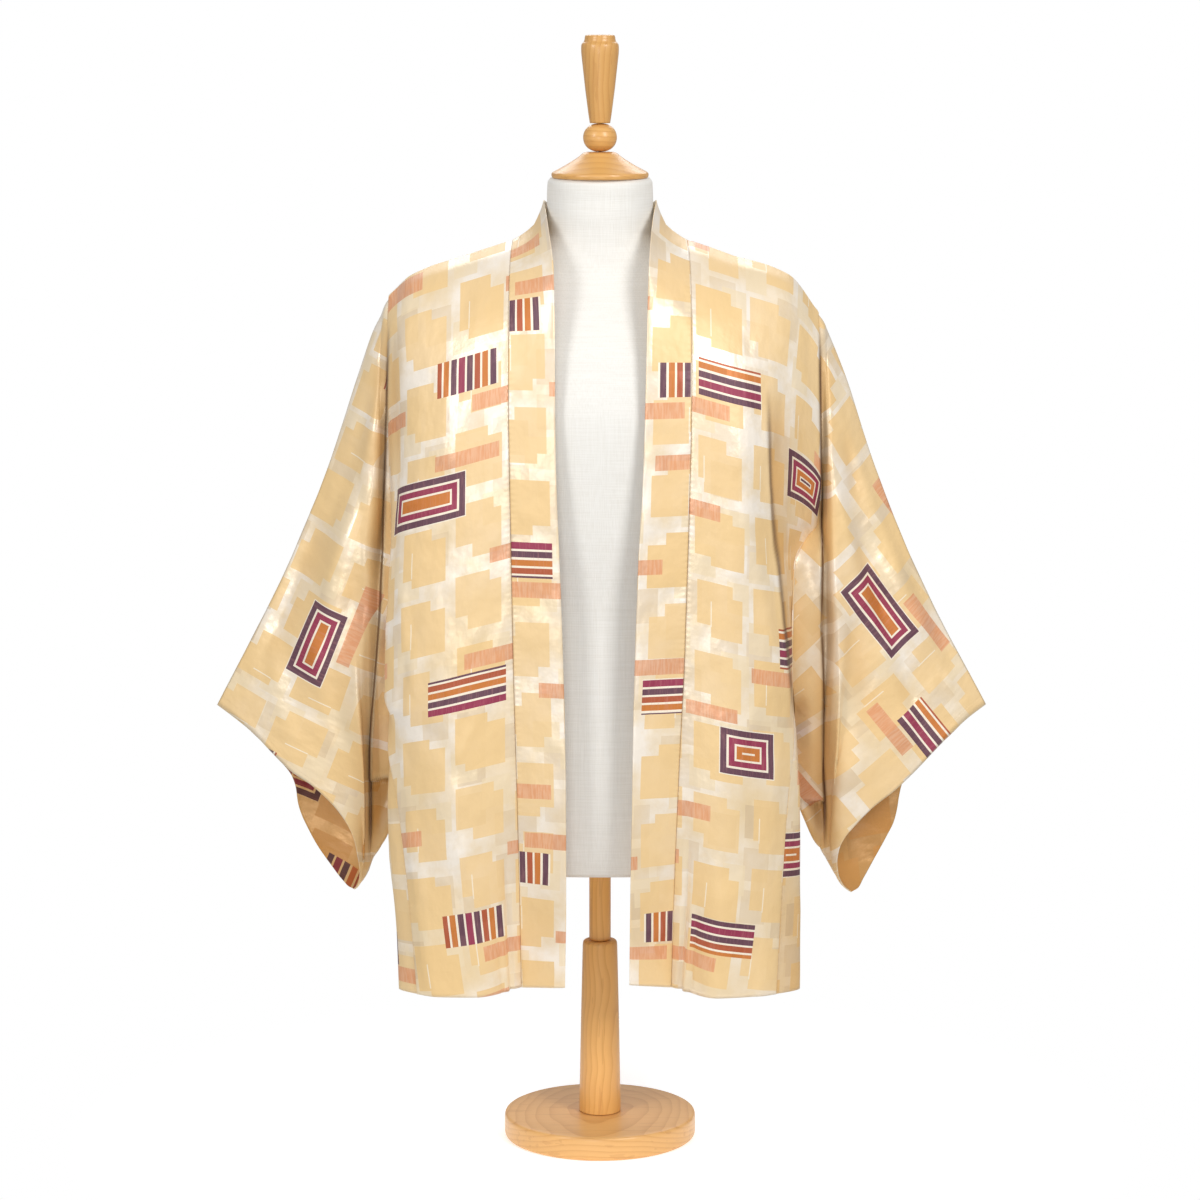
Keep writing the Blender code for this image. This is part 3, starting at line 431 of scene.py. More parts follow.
# --- curves and sections
def rounded(rows, at):
    """Cubic curve through rows; its slope at a row is the harmonic mean of both sides."""
    rows = np.asarray(rows, float)
    at = np.asarray(at, float)
    x, y = rows[:, 0], rows[:, 1:]
    step = np.diff(x)[:, None]
    slope = np.diff(y, axis=0) / step
    before, after = slope[:-1], slope[1:]
    product = before * after
    total = np.where(product > 0, before + after, 1.0)
    middle = np.where(product > 0, 2 * product / total, 0.0)
    ends = np.vstack([slope[:1], middle, slope[-1:]])
    low = np.clip(np.searchsorted(x, at, side="right") - 1, 0, len(x) - 2)
    h = step[low]
    t = ((at - x[low])[:, None]) / h
    return (y[low] * (1 + 2 * t) * (1 - t) ** 2 + ends[low] * h * t * (1 - t) ** 2
            + y[low + 1] * t * t * (3 - 2 * t) - ends[low + 1] * h * t * t * (1 - t))


def sections(names, rows, at):
    """The columns of a table by name, rounded at the given places."""
    return dict(zip(names[1:], rounded(rows, at).T))


def eased(value):
    """0 below 0, 1 above 1 and a smooth step between."""
    value = np.clip(value, 0, 1)
    return value * value * (3 - 2 * value)


def bell(value, width):
    """e to the power of minus the square of the value over the width."""
    return np.exp(-(value / width) ** 2)


def shoulder_z(x):
    """Straight slope down from the neck point, with a high power of the share for the
    round tip."""
    out = np.clip(np.abs(x) - SHOULDER_NECK_X, 0, None)
    share = out / (SHOULDER_TIP_X - SHOULDER_NECK_X)
    return SHOULDER_NECK_Z - SHOULDER_SLOPE * out - SHOULDER_ROUND * share ** SHOULDER_POWER


def hem_z(y):
    """Level in front, with a smooth step up towards the back."""
    return HEM_Z + HEM_RISE * eased((y - HEM_RISE_FROM_Y) / (HEM_RISE_TO_Y - HEM_RISE_FROM_Y))


def at_drop(x, y, drop):
    """Point at a share of the straight way from the shoulder line to the hem line."""
    top = shoulder_z(x)
    return np.stack([x, y, top + (hem_z(y) - top) * drop], -1)


def across(points, count, crowd=1.0):
    """Each section's control points joined by a rounded curve and cut by length, with
    the cuts crowded towards its end by a power."""
    out = []
    cuts = 1 - (1 - np.linspace(0, 1, count)) ** crowd
    for section in points:
        place = lengths(section, 0)[:, None]
        out.append(rounded(np.hstack([place, section]), cuts * place[-1, 0]))
    return np.array(out)


def lengths(grid, axis):
    """Length along the grid's lines from their start to each point."""
    step = np.linalg.norm(np.diff(grid, axis=axis), axis=-1)
    first = np.zeros_like(np.take(step, [0], axis))
    return np.concatenate([first, np.cumsum(step, axis)], axis)


def normals(grid, closed=False):
    """Unit cross product of the grid's two directions at each point."""
    down = np.gradient(grid, axis=0)
    if closed:
        side = np.roll(grid, -1, 1) - np.roll(grid, 1, 1)
    else:
        side = np.gradient(grid, axis=1)
    way = np.cross(side, down)
    return way / np.maximum(np.linalg.norm(way, axis=-1, keepdims=True), 1e-12)


def creases(u, v, rows):
    """Sum of troughs and ridges: height times a bell of the distance to each line,
    eased in over the first and last quarter of the line."""
    total = np.zeros_like(u)
    for u0, v0, u1, v1, half_width, height in rows:
        way_u, way_v = u1 - u0, v1 - v0
        run = ((u - u0) * way_u + (v - v0) * way_v) / (way_u ** 2 + way_v ** 2)
        t = np.clip(run, 0, 1)
        off = np.hypot(u - u0 - t * way_u, v - v0 - t * way_v)
        start, end = (eased(part / CREASE_END + CREASE_LEAD) for part in (run, 1 - run))
        total += height * bell(off, half_width) * start * end
    return total


def painted_trough_shade(height):
    """Painted golden shade that grows with the depth of a trough behind."""
    return PAINTED_TROUGH_SHADE * np.clip(-height / TROUGH_DEEP, 0, 1)


def front_folds(x, z, rows):
    """Depth of folds seen from the front: a bell of the distance to a broken line with its own
    reach and depth on either side, changing over a narrow smooth step at the line, and eased in
    at the line's two ends. The painted shadow line along it and the painted golden shade beside
    it are bells too."""
    total, painted_crevice, shade = np.zeros_like(x), np.zeros_like(x), np.zeros_like(x)
    for line, outside, inside, painted_shade, painted_shade_out, painted_shade_in in rows:
        line = np.array(line)
        reach = lengths(line, 0)
        near, side, run = np.full_like(x, FAR), np.zeros_like(x), np.zeros_like(x)
        for (x0, z0), (x1, z1), start in zip(line[:-1], line[1:], reach):
            size = math.hypot(x1 - x0, z1 - z0)
            t = np.clip(((x - x0) * (x1 - x0) + (z - z0) * (z1 - z0)) / size ** 2, 0, 1)
            gap_x, gap_z = x - x0 - t * (x1 - x0), z - z0 - t * (z1 - z0)
            away = np.hypot(gap_x, gap_z)
            closer = away < near
            near = np.where(closer, away, near)
            side = np.where(closer, gap_x * (z0 - z1) + gap_z * (x1 - x0), side)
            run = np.where(closer, start + t * size, run)
        width = max(CRISP, STEP_SLOPE * abs(outside[1] - inside[1]))
        beyond = eased(np.sign(side) * near / width + 0.5)
        ends = eased(run / FOLD_START) * eased((reach[-1] - run) / FOLD_END)
        # deep is the fold's depth; golden is painted shade beside the fold, where the cloth lies
        # in shade
        deep, golden = (beyond * out[1] * bell(near, out[0])
                        + (1 - beyond) * back[1] * bell(near, back[0])
                        for out, back in ((outside, inside), (painted_shade_out, painted_shade_in)))
        total += ends * deep
        shade = 1 - (1 - shade) * (1 - golden * ends)
        # painted shadow line along the fold
        painted_crevice = np.maximum(painted_crevice, painted_shade * ends * bell(near, PAINTED_CREVICE_WIDTH))
    return total, np.stack([painted_crevice, shade], -1)


def below_roll(x, z, line, low):
    """1 between the fold's line and the body below a height and 0 elsewhere, with
    narrow smooth steps."""
    line = np.array(line)[::-1]
    beside = np.interp(z, line[:, 1], line[:, 0])
    return eased((beside - x) / CRISP + 0.5) * eased((low - z) / ROLL_END + 0.5)


def ripples(u, v, size, seed):
    """Smooth uneven field: a seeded lattice of numbers, blended with smooth steps."""
    lattice = np.random.default_rng(seed).uniform(-1, 1, (LATTICE, LATTICE))
    x = (u * LATTICE_COS + v * LATTICE_SIN) / size + LATTICE_FROM
    y = (v * LATTICE_COS - u * LATTICE_SIN) / size + LATTICE_FROM
    i, j = (np.floor(place).astype(int) % (LATTICE - 1) for place in (x, y))
    s, t = eased(x - np.floor(x)), eased(y - np.floor(y))
    return ((lattice[i, j] * (1 - s) + lattice[i + 1, j] * s) * (1 - t)
            + (lattice[i, j + 1] * (1 - s) + lattice[i + 1, j + 1] * s) * t)


def uneven(u, v, rows, shift=0):
    """Sum of ripples, a row giving the height, size and seed of each."""
    return sum(height * ripples(u, v, size, seed + shift) for height, size, seed in rows)


# --- making a mesh
def linked(name, data):
    """A new object with this data, linked to the scene."""
    obj = bpy.data.objects.new(name, data)
    bpy.context.scene.collection.objects.link(obj)
    return obj


def quads_of(rows, columns, closed):
    """The numbers of a grid's points, and the four of each quad between them."""
    index = np.arange(rows * columns).reshape(rows, columns)
    if closed:
        index = np.hstack([index, index[:, :1]])
    quads = np.stack([index[:-1, :-1], index[:-1, 1:], index[1:, 1:], index[1:, :-1]], -1)
    return index, quads.reshape(-1, 4)


def lay(name, grid, start_uv, end_uv, edge_start, edge_end, painted_shade, closed=False):
    """Quads over a grid of points. The cloth metres of a quad's first and second column come from
    start_uv and end_uv, so a seam may fall between two columns. The third map holds painted
    shade: how strong the painted shadow line of a fold is, and how far the cloth is in a fold's
    painted golden shade."""
    mesh = bpy.data.meshes.new(name)
    mesh.from_pydata(grid.reshape(-1, 3), [], quads_of(*grid.shape[:2], closed)[1])
    painted_shade_start, painted_shade_end = (painted_shade, np.roll(painted_shade, -1, 1)) if closed else (painted_shade[:, :-1], painted_shade[:, 1:])
    for title, a, b in (("Print", start_uv, end_uv), ("Sewing", edge_start, edge_end),
                        ("FoldPaintedShade", painted_shade_start, painted_shade_end)):
        corners = np.stack([a[:-1], b[:-1], b[1:], a[1:]], 2)
        layer = mesh.uv_layers.new(name=title)
        layer.uv.foreach_set("vector", corners.astype(np.float32).ravel())
    mesh.shade_smooth()
    return linked(name, mesh)


def thicken(obj, thickness):
    """Gives a sheet its thickness, half to each side."""
    solid = obj.modifiers.new("thickness", "SOLIDIFY")
    solid.thickness = thickness
    solid.offset = 0.0
    solid.material_offset = 1
    return obj


def open_sheet(name, grid, uv, edge, painted_shade, thickness):
    """A sheet whose cloth metres are the same for neighbouring quads."""
    return thicken(lay(name, grid, uv[:, :-1], uv[:, 1:], edge[:, :-1], edge[:, 1:], painted_shade),
                   thickness)


def area_of(grid, closed=False):
    """Area of a grid of points, from the cross products of its quads' diagonals."""
    if closed:
        grid = np.concatenate([grid, grid[:, :1]], 1)
    one = grid[1:, 1:] - grid[:-1, :-1]
    two = grid[1:, :-1] - grid[:-1, 1:]
    return float(np.linalg.norm(np.cross(one, two), axis=-1).sum() / 2)


# --- cloth pieces
def back_rows(side):
    edge_right = PANEL_COLUMNS.index("edge_x")
    return np.delete(np.array(BACK), edge_right if side > 0 else edge_right + 1, 1)


def panel_place(rows, word, drops):
    place = sections(PANEL_COLUMNS, rows, drops)
    return at_drop(place[word + "_x"], place[word + "_y"], np.asarray(drops))


def panel_half(rows, drops):
    lines = [panel_place(rows, word, drops) for word in ("inner", "lobe", "turn", "edge")]
    return across(np.stack(lines, 1), PANEL_ACROSS, PANEL_CROWD)


def from_sides(length):
    """Distance to the nearer end of a section."""
    return np.minimum(length, length[:, -1:] - length)


def down_rows(count):
    """Shares of the way down, crowded towards the shoulder by a power."""
    return np.linspace(0, 1, count) ** DOWN_CROWD


def body_panel(name, side, front_rows, front_creases, folded, bolt):
    """Front and back of one side in one length. Cloth metres: across is the inner
    edge's distance from the middle plus the length along the section, down is the
    drop times the panel's length, below nothing behind the shoulder."""
    down_front, down_back = down_rows(FRONT_ROWS), down_rows(BACK_ROWS)
    front = panel_half(front_rows, down_front)
    back = panel_half(back_rows(side), down_back)
    back[0] = front[0]
    grid = np.concatenate([front[::-1], back[1:]], 0)
    down = np.concatenate([down_front[::-1], -down_back[1:]]) * PANEL_DOWN
    length = lengths(grid, 1)
    u = grid[:, :1, 0] + length
    v = np.broadcast_to(down[:, None], u.shape)
    hang = (shoulder_z(grid[..., 0]) - grid[..., 2]) * np.sign(down)[:, None]
    slanted = v + (hang - v) * SLANT
    top_fade = eased(v / PANEL_TOP_FADE)
    # the folds' depth, and their painted shade: a shadow line along each fold and a golden shade
    # where the cloth lies in shade
    depth, painted_shade = front_folds(grid[..., 0], grid[..., 2], folded)
    grid[..., 1] += depth * top_fade
    painted_shade = painted_shade * top_fade[..., None]
    from_edges = from_sides(length)
    calm = eased(from_edges / PANEL_CALM)
    height = creases(u, v, front_creases) * (v > 0) + creases(u, v, CREASES_BACK) * (v < 0)
    height += uneven(u, v, PANEL_RIPPLES, side)
    height = height * calm - SEAM_DIP * bell(from_edges, SEAM_REACH)
    grid = grid + normals(grid) * height[..., None]
    # painted golden shade in the deeper troughs of the creases behind
    painted_shade[..., 1] = np.maximum(painted_shade[..., 1], painted_trough_shade(height) * (v < 0))
    grid[..., 0] *= side
    uv = np.stack([u * side + bolt[0], slanted + bolt[1]], -1)
    edge = np.stack([from_edges, PANEL_DOWN - np.abs(v)], -1)
    if side < 0:
        grid, uv, edge, painted_shade = (part[::-1] for part in (grid, uv, edge, painted_shade))
    return open_sheet(name, grid, uv, edge, painted_shade, CLOTH), area_of(grid)


def gusset(name, side, front_rows, word, bolt):
    """Side piece between the front and back edges, bent at its corner line, with painted golden
    shade. The painted shade follows the rows of the grid, which run up from the hem on the left
    piece."""
    drop = np.linspace(GUSSET_TOP, 1.0, GUSSET_ROWS)
    bend = sections(GUSSET_COLUMNS, GUSSET, drop)
    front, back = (panel_place(rows, "edge", drop) for rows in (front_rows, back_rows(side)))
    corner = at_drop(bend[word + "_x"], bend[word + "_y"], drop)
    grid = across(np.stack([front, corner, back], 1), GUSSET_ACROSS)
    length = lengths(grid, 1)
    v = np.broadcast_to((drop * PANEL_DOWN)[:, None], length.shape)
    from_edges = from_sides(length)
    height = uneven(length, v, GUSSET_RIPPLES, side) * eased(from_edges / GUSSET_CALM)
    height -= LAP * bell(from_edges, LAP_REACH)
    grid = grid + normals(grid) * -height[..., None]
    grid[..., 0] *= side
    uv = np.stack([length * side + bolt[0], v + bolt[1]], -1)
    edge = np.stack([from_edges, PANEL_DOWN - v], -1)
    if side > 0:
        grid, uv, edge = (part[::-1] for part in (grid, uv, edge))
    # painted golden shade over the first rows of the grid
    shade = GUSSET_PAINTED_SHADE * eased((GUSSET_PAINTED_SHADE_TO - drop) / GUSSET_PAINTED_SHADE_FADE)[:, None]
    shade = shade * np.ones_like(length)
    painted_shade = np.stack([np.zeros_like(shade), shade], -1)
    return open_sheet(name, grid, uv, edge, painted_shade, CLOTH), area_of(grid)


def collar_side(side, front_rows, free_rows):
    """Seam and free edges of one half of the band, from the hem to the centre back."""
    fore = np.linspace(1, 0, BAND_FORE) ** BAND_CROWD
    aft = np.linspace(0, BAND_BACK_DROP, BAND_AFT)[1:]
    rows = back_rows(side)
    seam = np.vstack([panel_place(front_rows, "inner", fore), panel_place(rows, "inner", aft)])
    beside_front = np.hstack([np.array(front_rows)[:, :1], free_rows])
    beside_back = np.hstack([rows[:len(FREE_BACK), :1], FREE_BACK])
    free = np.vstack([rounded(beside_front, fore), rounded(beside_back, aft)])
    both = np.stack([seam, free], 1)
    both[..., 0] *= side
    return both


def collar(name, bolt):
    """A flat folded band: a squared oval ring, half the band's thickness by half its
    width, carried along the middle line between the seam and the free edge."""
    right = collar_side(-1, FRONT_RIGHT, FREE_RIGHT)
    left = collar_side(1, FRONT_LEFT, FREE_LEFT)
    seam, free = np.moveaxis(np.vstack([right, left[-2::-1]]), 1, 0)
    run = lengths(seam[:, None], 0)[:, 0]
    middle_run = run[len(right) - 1]
    along = np.gradient((seam + free) / 2, axis=0)
    wide = free - seam
    width = np.linalg.norm(wide, axis=1, keepdims=True)
    wide = wide / width
    out = np.cross(wide, along)
    out /= np.linalg.norm(out, axis=1, keepdims=True)
    turn = np.linspace(0, 2 * math.pi, COLLAR_ROUND, endpoint=False) + math.pi
    share, lift = (np.sign(wave) * np.abs(wave) ** power
                   for wave, power in ((np.cos(turn), BAND_FLAT), (np.sin(turn), BAND_SQUARE)))
    place = (share[None] + 1) / 2 * width
    v = np.broadcast_to(np.abs(run - middle_run)[:, None], place.shape)
    sway = uneven(place, v, BAND_RIPPLES) + creases(place, v, CREASES_BAND)
    sway *= eased(place / BAND_CALM_SEAM) * eased((width - place) / BAND_CALM_FREE)
    share_in = place / width
    hollow = (4 * share_in * (1 - share_in)) ** HOLLOW_POWER
    sway -= NECK_HOLLOW * hollow * bell(v - NECK_AT, NECK_REACH)
    grid = (seam[:, None] + wide[:, None] * (place - BAND_TUCK)[..., None]
            + out[:, None] * (lift[None] * BAND / 2 + sway + BAND_LIFT)[..., None])
    ends = [np.broadcast_to(ring.mean(0), grid[:1].shape) for ring in (grid[0], grid[-1])]
    grid = np.concatenate([ends[0], grid, ends[1]], 0)
    place, v, bolt_run = (np.concatenate([rows[:1], rows, rows[-1:]])
                          for rows in (place, v, run[:, None]))
    uv = np.stack([place + bolt[0], np.broadcast_to(bolt_run, place.shape) + bolt[1]], -1)
    edge = np.stack([place, np.minimum(v[0, 0] - v, HEM_FAR)], -1)
    obj = lay(name, grid, uv, np.roll(uv, -1, 1), edge, np.roll(edge, -1, 1),
              np.zeros((*grid.shape[:2], 2)), closed=True)
    clean = obj.modifiers.new("ends", "WELD")
    clean.merge_threshold = WELD
    return obj, float((width[:-1, 0] * np.diff(run)).sum())


def half_wave(share, low):
    """Half a sine, its top moved to a share of the way by a power, then flattened."""
    skew = np.log(0.5) / np.log(low)
    return np.clip(np.sin(math.pi * share[None] ** skew), 0, None) ** DEPTH_POWER


def sleeve_face(row, share, depth, pull, sign):
    """Lines from top fold to bottom fold through the knee; depth is a skewed half
    sine raised to a power; the cuff is drawn up by such a wave in front and by a
    whole sine behind."""
    legs = np.array([[0.0], [KNEE_SHARE], [1.0]])
    lines = [np.stack([row[word + axis] for word in ("top", "knee", "bottom")])
             for axis in ("_x", "_z")]
    place = rounded(np.hstack([legs, *lines]), share)
    x, z = place[:, :SLEEVE_ALONG].T, place[:, SLEEVE_ALONG:].T
    wave = half_wave(share, row["low"][:, None])
    drawn = half_wave(share, PULL_LOW) if sign < 0 else np.sin(2 * math.pi * share)[None]
    way_x, way_z = (row["bottom" + axis] - row["top" + axis] for axis in ("_x", "_z"))
    size = np.hypot(way_x, way_z)
    y = CREST_Y * (1 - share[None]) + sign * depth[:, None] * wave
    x = x + (pull * way_z / size)[:, None] * drawn
    z = z - (pull * way_x / size)[:, None] * drawn
    return np.stack([x, y, z], -1)


def fold_depth(folds, along, share):
    """Sum of the large folds: a bell across each one, eased in down its length."""
    total = np.zeros((len(along), len(share)))
    for place, half_width, depth, starts, full in folds:
        ease = eased((share - starts) / (full - starts))
        end = np.clip((1 - share) / FOLD_FADE, 0, 1)
        total += depth * bell(along - place, half_width)[:, None] * (ease * end)[None]
    return total


def meet_armhole(face, along, rows, low_z):
    """Draws the start of a sleeve face to the panel's edge beside it, from the
    shoulder down to a height, with a fade along the sleeve raised to a power."""
    edge = panel_place(rows, "edge", np.linspace(0, ARM_DOWN, ARM_ROWS))[::-1]
    near = np.clip(1 - along / TUCK_ALONG, 0, 1)[:, None]
    level = face[..., 2]
    high = eased((level - low_z) / ARM_LOW_FADE)
    steep = STEP_SOFT + (STEP_POWER - STEP_SOFT) * eased((level - TUCK_FULL_Z) / STEP_FADE)
    for axis, step, power in ((0, ARM_STEP, steep), (1, ARM_BEHIND, 1)):
        goal = np.interp(level, edge[:, 2], edge[:, axis]) + step
        face[..., axis] += (goal - face[..., axis]) * near ** power * high
    return face


def sleeve(name, side, rows, folds, front_rows, tuck, meets_down_to, mouth, folded, roll,
           rows_of_creases, tilt, bolt):
    """Closed loops from armhole to cuff, down the front and up the back. Cloth
    metres: across is the way along the top fold's direction, down the distance
    from that fold, below nothing behind it, both turned by the tilt of the weave."""
    half = SLEEVE_HALF
    along = np.linspace(0, 1, SLEEVE_ALONG) ** ALONG_CROWD
    row = sections(SLEEVE_COLUMNS, rows, along)
    even = np.linspace(0, 1, half)
    crowded = 0.5 - 0.5 * np.cos(math.pi * even)
    down = TOP_CROWDING * crowded + (1 - TOP_CROWDING) * even
    fore = sleeve_face(row, down, row["front"], row["pull_front"], -1)
    fore[..., 1] += fold_depth(folds, along, down)
    aft = sleeve_face(row, down[::-1], row["back"], row["pull_back"], 1)
    for face in (fore, aft):
        swing = eased((TUCK_FROM_Z - face[..., 2]) / (TUCK_FROM_Z - TUCK_FULL_Z))
        face[..., 0] -= tuck * swing * np.clip(1 - along / TUCK_ALONG, 0, 1)[:, None]
    fore = meet_armhole(fore, along, front_rows, meets_down_to)
    fore[:, 0, 1] = CREST_Y
    aft = meet_armhole(aft, along, back_rows(side), TUCK_FROM_Z)
    grid = np.concatenate([fore, aft[:, 1:-1]], 1)
    rim = np.vstack([rounded(mouth[0], down), rounded(mouth[1], down[::-1])[1:-1]])
    shaped = eased((along - MOUTH_FROM) / (1 - MOUTH_FROM))[:, None, None]
    grid = grid + (rim - grid[-1]) * shaped
    column = np.arange(grid.shape[1])
    flat = grid.copy()
    # the folds' depth, and their painted shade: a shadow line along each fold and a golden shade
    # where the cloth lies in shade
    depth, painted_shade = front_folds(grid[..., 0], grid[..., 2], folded)
    line, low, roll_folds = roll
    roll_depth, roll_painted_shade = front_folds(grid[..., 0], grid[..., 2], roll_folds)
    under = below_roll(grid[..., 0], grid[..., 2], line, low)
    depth += roll_depth * eased(along / ROLL_ALONG)[:, None] + ROLL_DEPTH * under
    painted_shade = np.maximum(painted_shade, roll_painted_shade)
    # painted shade on the sleeve's far side below the roll, where it lies deep in shade
    painted_shade[..., 1] = np.maximum(painted_shade[..., 1], under)
    share = (column < half) * eased(column / TOP_FADE) * eased((half - 1 - column) / LOW_FADE)
    grid[..., 1] += depth * share
    painted_shade = painted_shade * share[..., None]
    top = flat[:, 0]
    way = top[-1] - top[0]
    way = way / np.linalg.norm(way)
    from_top = flat - top[:1, None]
    u = from_top @ way
    v = np.sqrt(np.clip((from_top ** 2).sum(-1) - u ** 2, 0, None))
    sign = np.where(column < half, 1.0, -1.0)
    height = creases(u, v * sign, rows_of_creases) + uneven(u, v * sign, SLEEVE_RIPPLES, side)
    from_cuff = np.clip((1 - along) * SLEEVE_LONG, 0, None)[:, None]
    at_cuff = CUFF_LEFT + (1 - CUFF_LEFT) * eased(from_cuff / SLEEVE_CALM)
    calm = eased(v / SLEEVE_CALM) * eased(along / ARM_CALM)[:, None] * at_cuff
    grid = grid + normals(grid, closed=True) * (height * calm)[..., None]
    # painted golden shade in the deeper troughs of the creases behind
    painted_shade[..., 1] = np.maximum(painted_shade[..., 1], painted_trough_shade(height * calm) * (sign < 0))
    grid[..., 0] *= side
    front = np.stack([u[:, :half], v[:, :half]], -1)
    back = np.stack([np.concatenate([part[:, half - 1:], part[:, :1]], 1)
                     for part in (u, -v)], -1)
    swung = np.array([[math.cos(tilt), math.sin(tilt)], [-math.sin(tilt), math.cos(tilt)]])
    front, back = (part @ swung * (side, 1) + bolt for part in (front, back))
    start = np.concatenate([front[:, :-1], back[:, :-1]], 1)
    end = np.concatenate([front[:, 1:], back[:, 1:]], 1)
    edge = np.stack(np.broadcast_arrays((along * SLEEVE_LONG)[:, None], from_cuff,
                                        start[..., 0])[:2], -1)
    if side < 0:
        grid, start, end, edge, painted_shade = (part[::-1] for part in (grid, start, end, edge, painted_shade))
    obj = thicken(lay(name, grid, start, end, edge, edge, painted_shade, closed=True), CLOTH)
    return obj, area_of(grid, closed=True)


# --- form and stand
def linen_form(name):
    """Superellipse levels: width and depth times powers of cosine and sine."""
    heights = np.array(FORM)[:, 0]
    levels = np.unique(np.concatenate([np.linspace(low, high, LEVEL_STEPS)
                                       for low, high in zip(heights, heights[1:])]))
    shape = {key: col[:, None] for key, col in sections(FORM_COLUMNS, FORM, levels).items()}
    turn = np.linspace(0, 2 * math.pi, FORM_ROUND, endpoint=False)[None]
    x, y = (shape[size] * np.sign(wave) * np.abs(wave) ** (2 / shape["power"])
            for size, wave in (("half_width", np.cos(turn)), ("half_depth", np.sin(turn))))
    z = np.broadcast_to(levels[:, None], x.shape)
    return closed_solid(name, np.stack([x, shape["middle_y"] + y, z], -1))


def closed_solid(name, rings):
    """Quads over closed rings, the first and last ring drawn to its middle point."""
    rows, columns = rings.shape[:2]
    points = np.vstack([rings.reshape(-1, 3), rings[0].mean(0), rings[-1].mean(0)])
    index, quads = quads_of(rows, columns, True)
    low, high = (np.full(columns, rows * columns + end) for end in (0, 1))
    first = np.stack([index[0, 1:], index[0, :-1], low], -1)
    last = np.stack([index[-1, :-1], index[-1, 1:], high], -1)
    mesh = bpy.data.meshes.new(name)
    mesh.from_pydata(points, [], quads.tolist() + first.tolist() + last.tolist())
    mesh.shade_smooth()
    return linked(name, mesh)


HANDLE = small((
    (103, 10554), (118, 10650), (150, 10900), (190, 11262), (190, 11325), (182, 11350),
    (156, 11368), (153, 11424), (135, 11434), (60, 11434),
))
CAP = small((
    (440, 10003), (480, 10003), (491, 10022), (491, 10050), (480, 10062), (360, 10125),
    (230, 10205), (158, 10264), (100, 10264),
))
POST = small((
    (160, 253), (217, 253), (219, 270), (200, 1200), (180, 2060), (172, 2082), (155, 2092),
    (80, 2092),
))
ROD = small((
    (80, 2095), (112, 2095), (112, 2520), (112, 2967), (80, 2967),
))
BASE = small((
    (600, 0), (975, 0), (1000, 22), (1000, 120), (1000, 228), (978, 250), (600, 250),
))


def softened(profile, radius, times=2):
    """Cuts each corner of a profile at a radius along both its sides, a few times."""
    line = np.array(profile, float)
    for _ in range(times):
        corner = line[1:-1]
        pair = []
        for other in (line[:-2], line[2:]):
            way = other - corner
            size = np.linalg.norm(way, axis=1, keepdims=True)
            pair.append(corner + way / size * np.minimum(radius, size * CORNER_SHARE))
        line = np.vstack([line[:1], np.stack(pair, 1).reshape(-1, 2), line[-1:]])
        radius = radius * 0.5
    return line


def turned(name, profile, radius):
    """Profile of radii and heights carried round the Z axis."""
    line = softened(profile, radius)
    extra = np.linspace(0, 1, SPAN_STEPS, endpoint=False)[None, :, None]
    line = np.vstack([((1 - extra) * line[:-1, None] + extra * line[1:, None]).reshape(-1, 2),
                      line[-1:]])
    turn = np.linspace(0, 2 * math.pi, TURN_STEPS, endpoint=False)[None]
    ring = np.stack([line[:, :1] * np.cos(turn), line[:, :1] * np.sin(turn),
                     np.broadcast_to(line[:, 1:], (len(line), TURN_STEPS))], -1)
    return closed_solid(name, ring)


def ball_profile():
    """Radius is the ball's radius times a power of the sine of the turn."""
    turn = np.linspace(BALL_END, math.pi - BALL_END, BALL_STEPS)[::-1]
    radius = BALL_RADIUS * np.sin(turn) ** BALL_POWER
    return np.stack([radius, BALL_Z + BALL_HALF * np.cos(turn)], 1)


# --- shader values
def by(operation):
    """A method that adds a Math node for a value and another."""
    return lambda self, other=0.0: self.finish.math(operation, self, other)


class Value:
    """A shader socket that takes part in sums; each sum adds a Math node."""

    __add__ = __radd__ = by("ADD")
    __sub__ = by("SUBTRACT")
    __mul__ = __rmul__ = by("MULTIPLY")
    __truediv__ = by("DIVIDE")
    __pow__ = by("POWER")
    above, below = by("GREATER_THAN"), by("LESS_THAN")
    least, most = by("MINIMUM"), by("MAXIMUM")
    size, floor, fract, sine = by("ABSOLUTE"), by("FLOOR"), by("FRACT"), by("SINE")

    def __init__(self, finish, socket):
        self.finish = finish
        self.socket = socket

    def __rsub__(self, other):
        return self.finish.math("SUBTRACT", other, self)

    def between(self, low, high):
        return self.above(low) * self.below(high)

    def bell(self, width):
        """e to the power of minus the square of the value over the width."""
        scaled = self / width
        return self.finish.math("POWER", math.e, 0.0 - scaled * scaled)


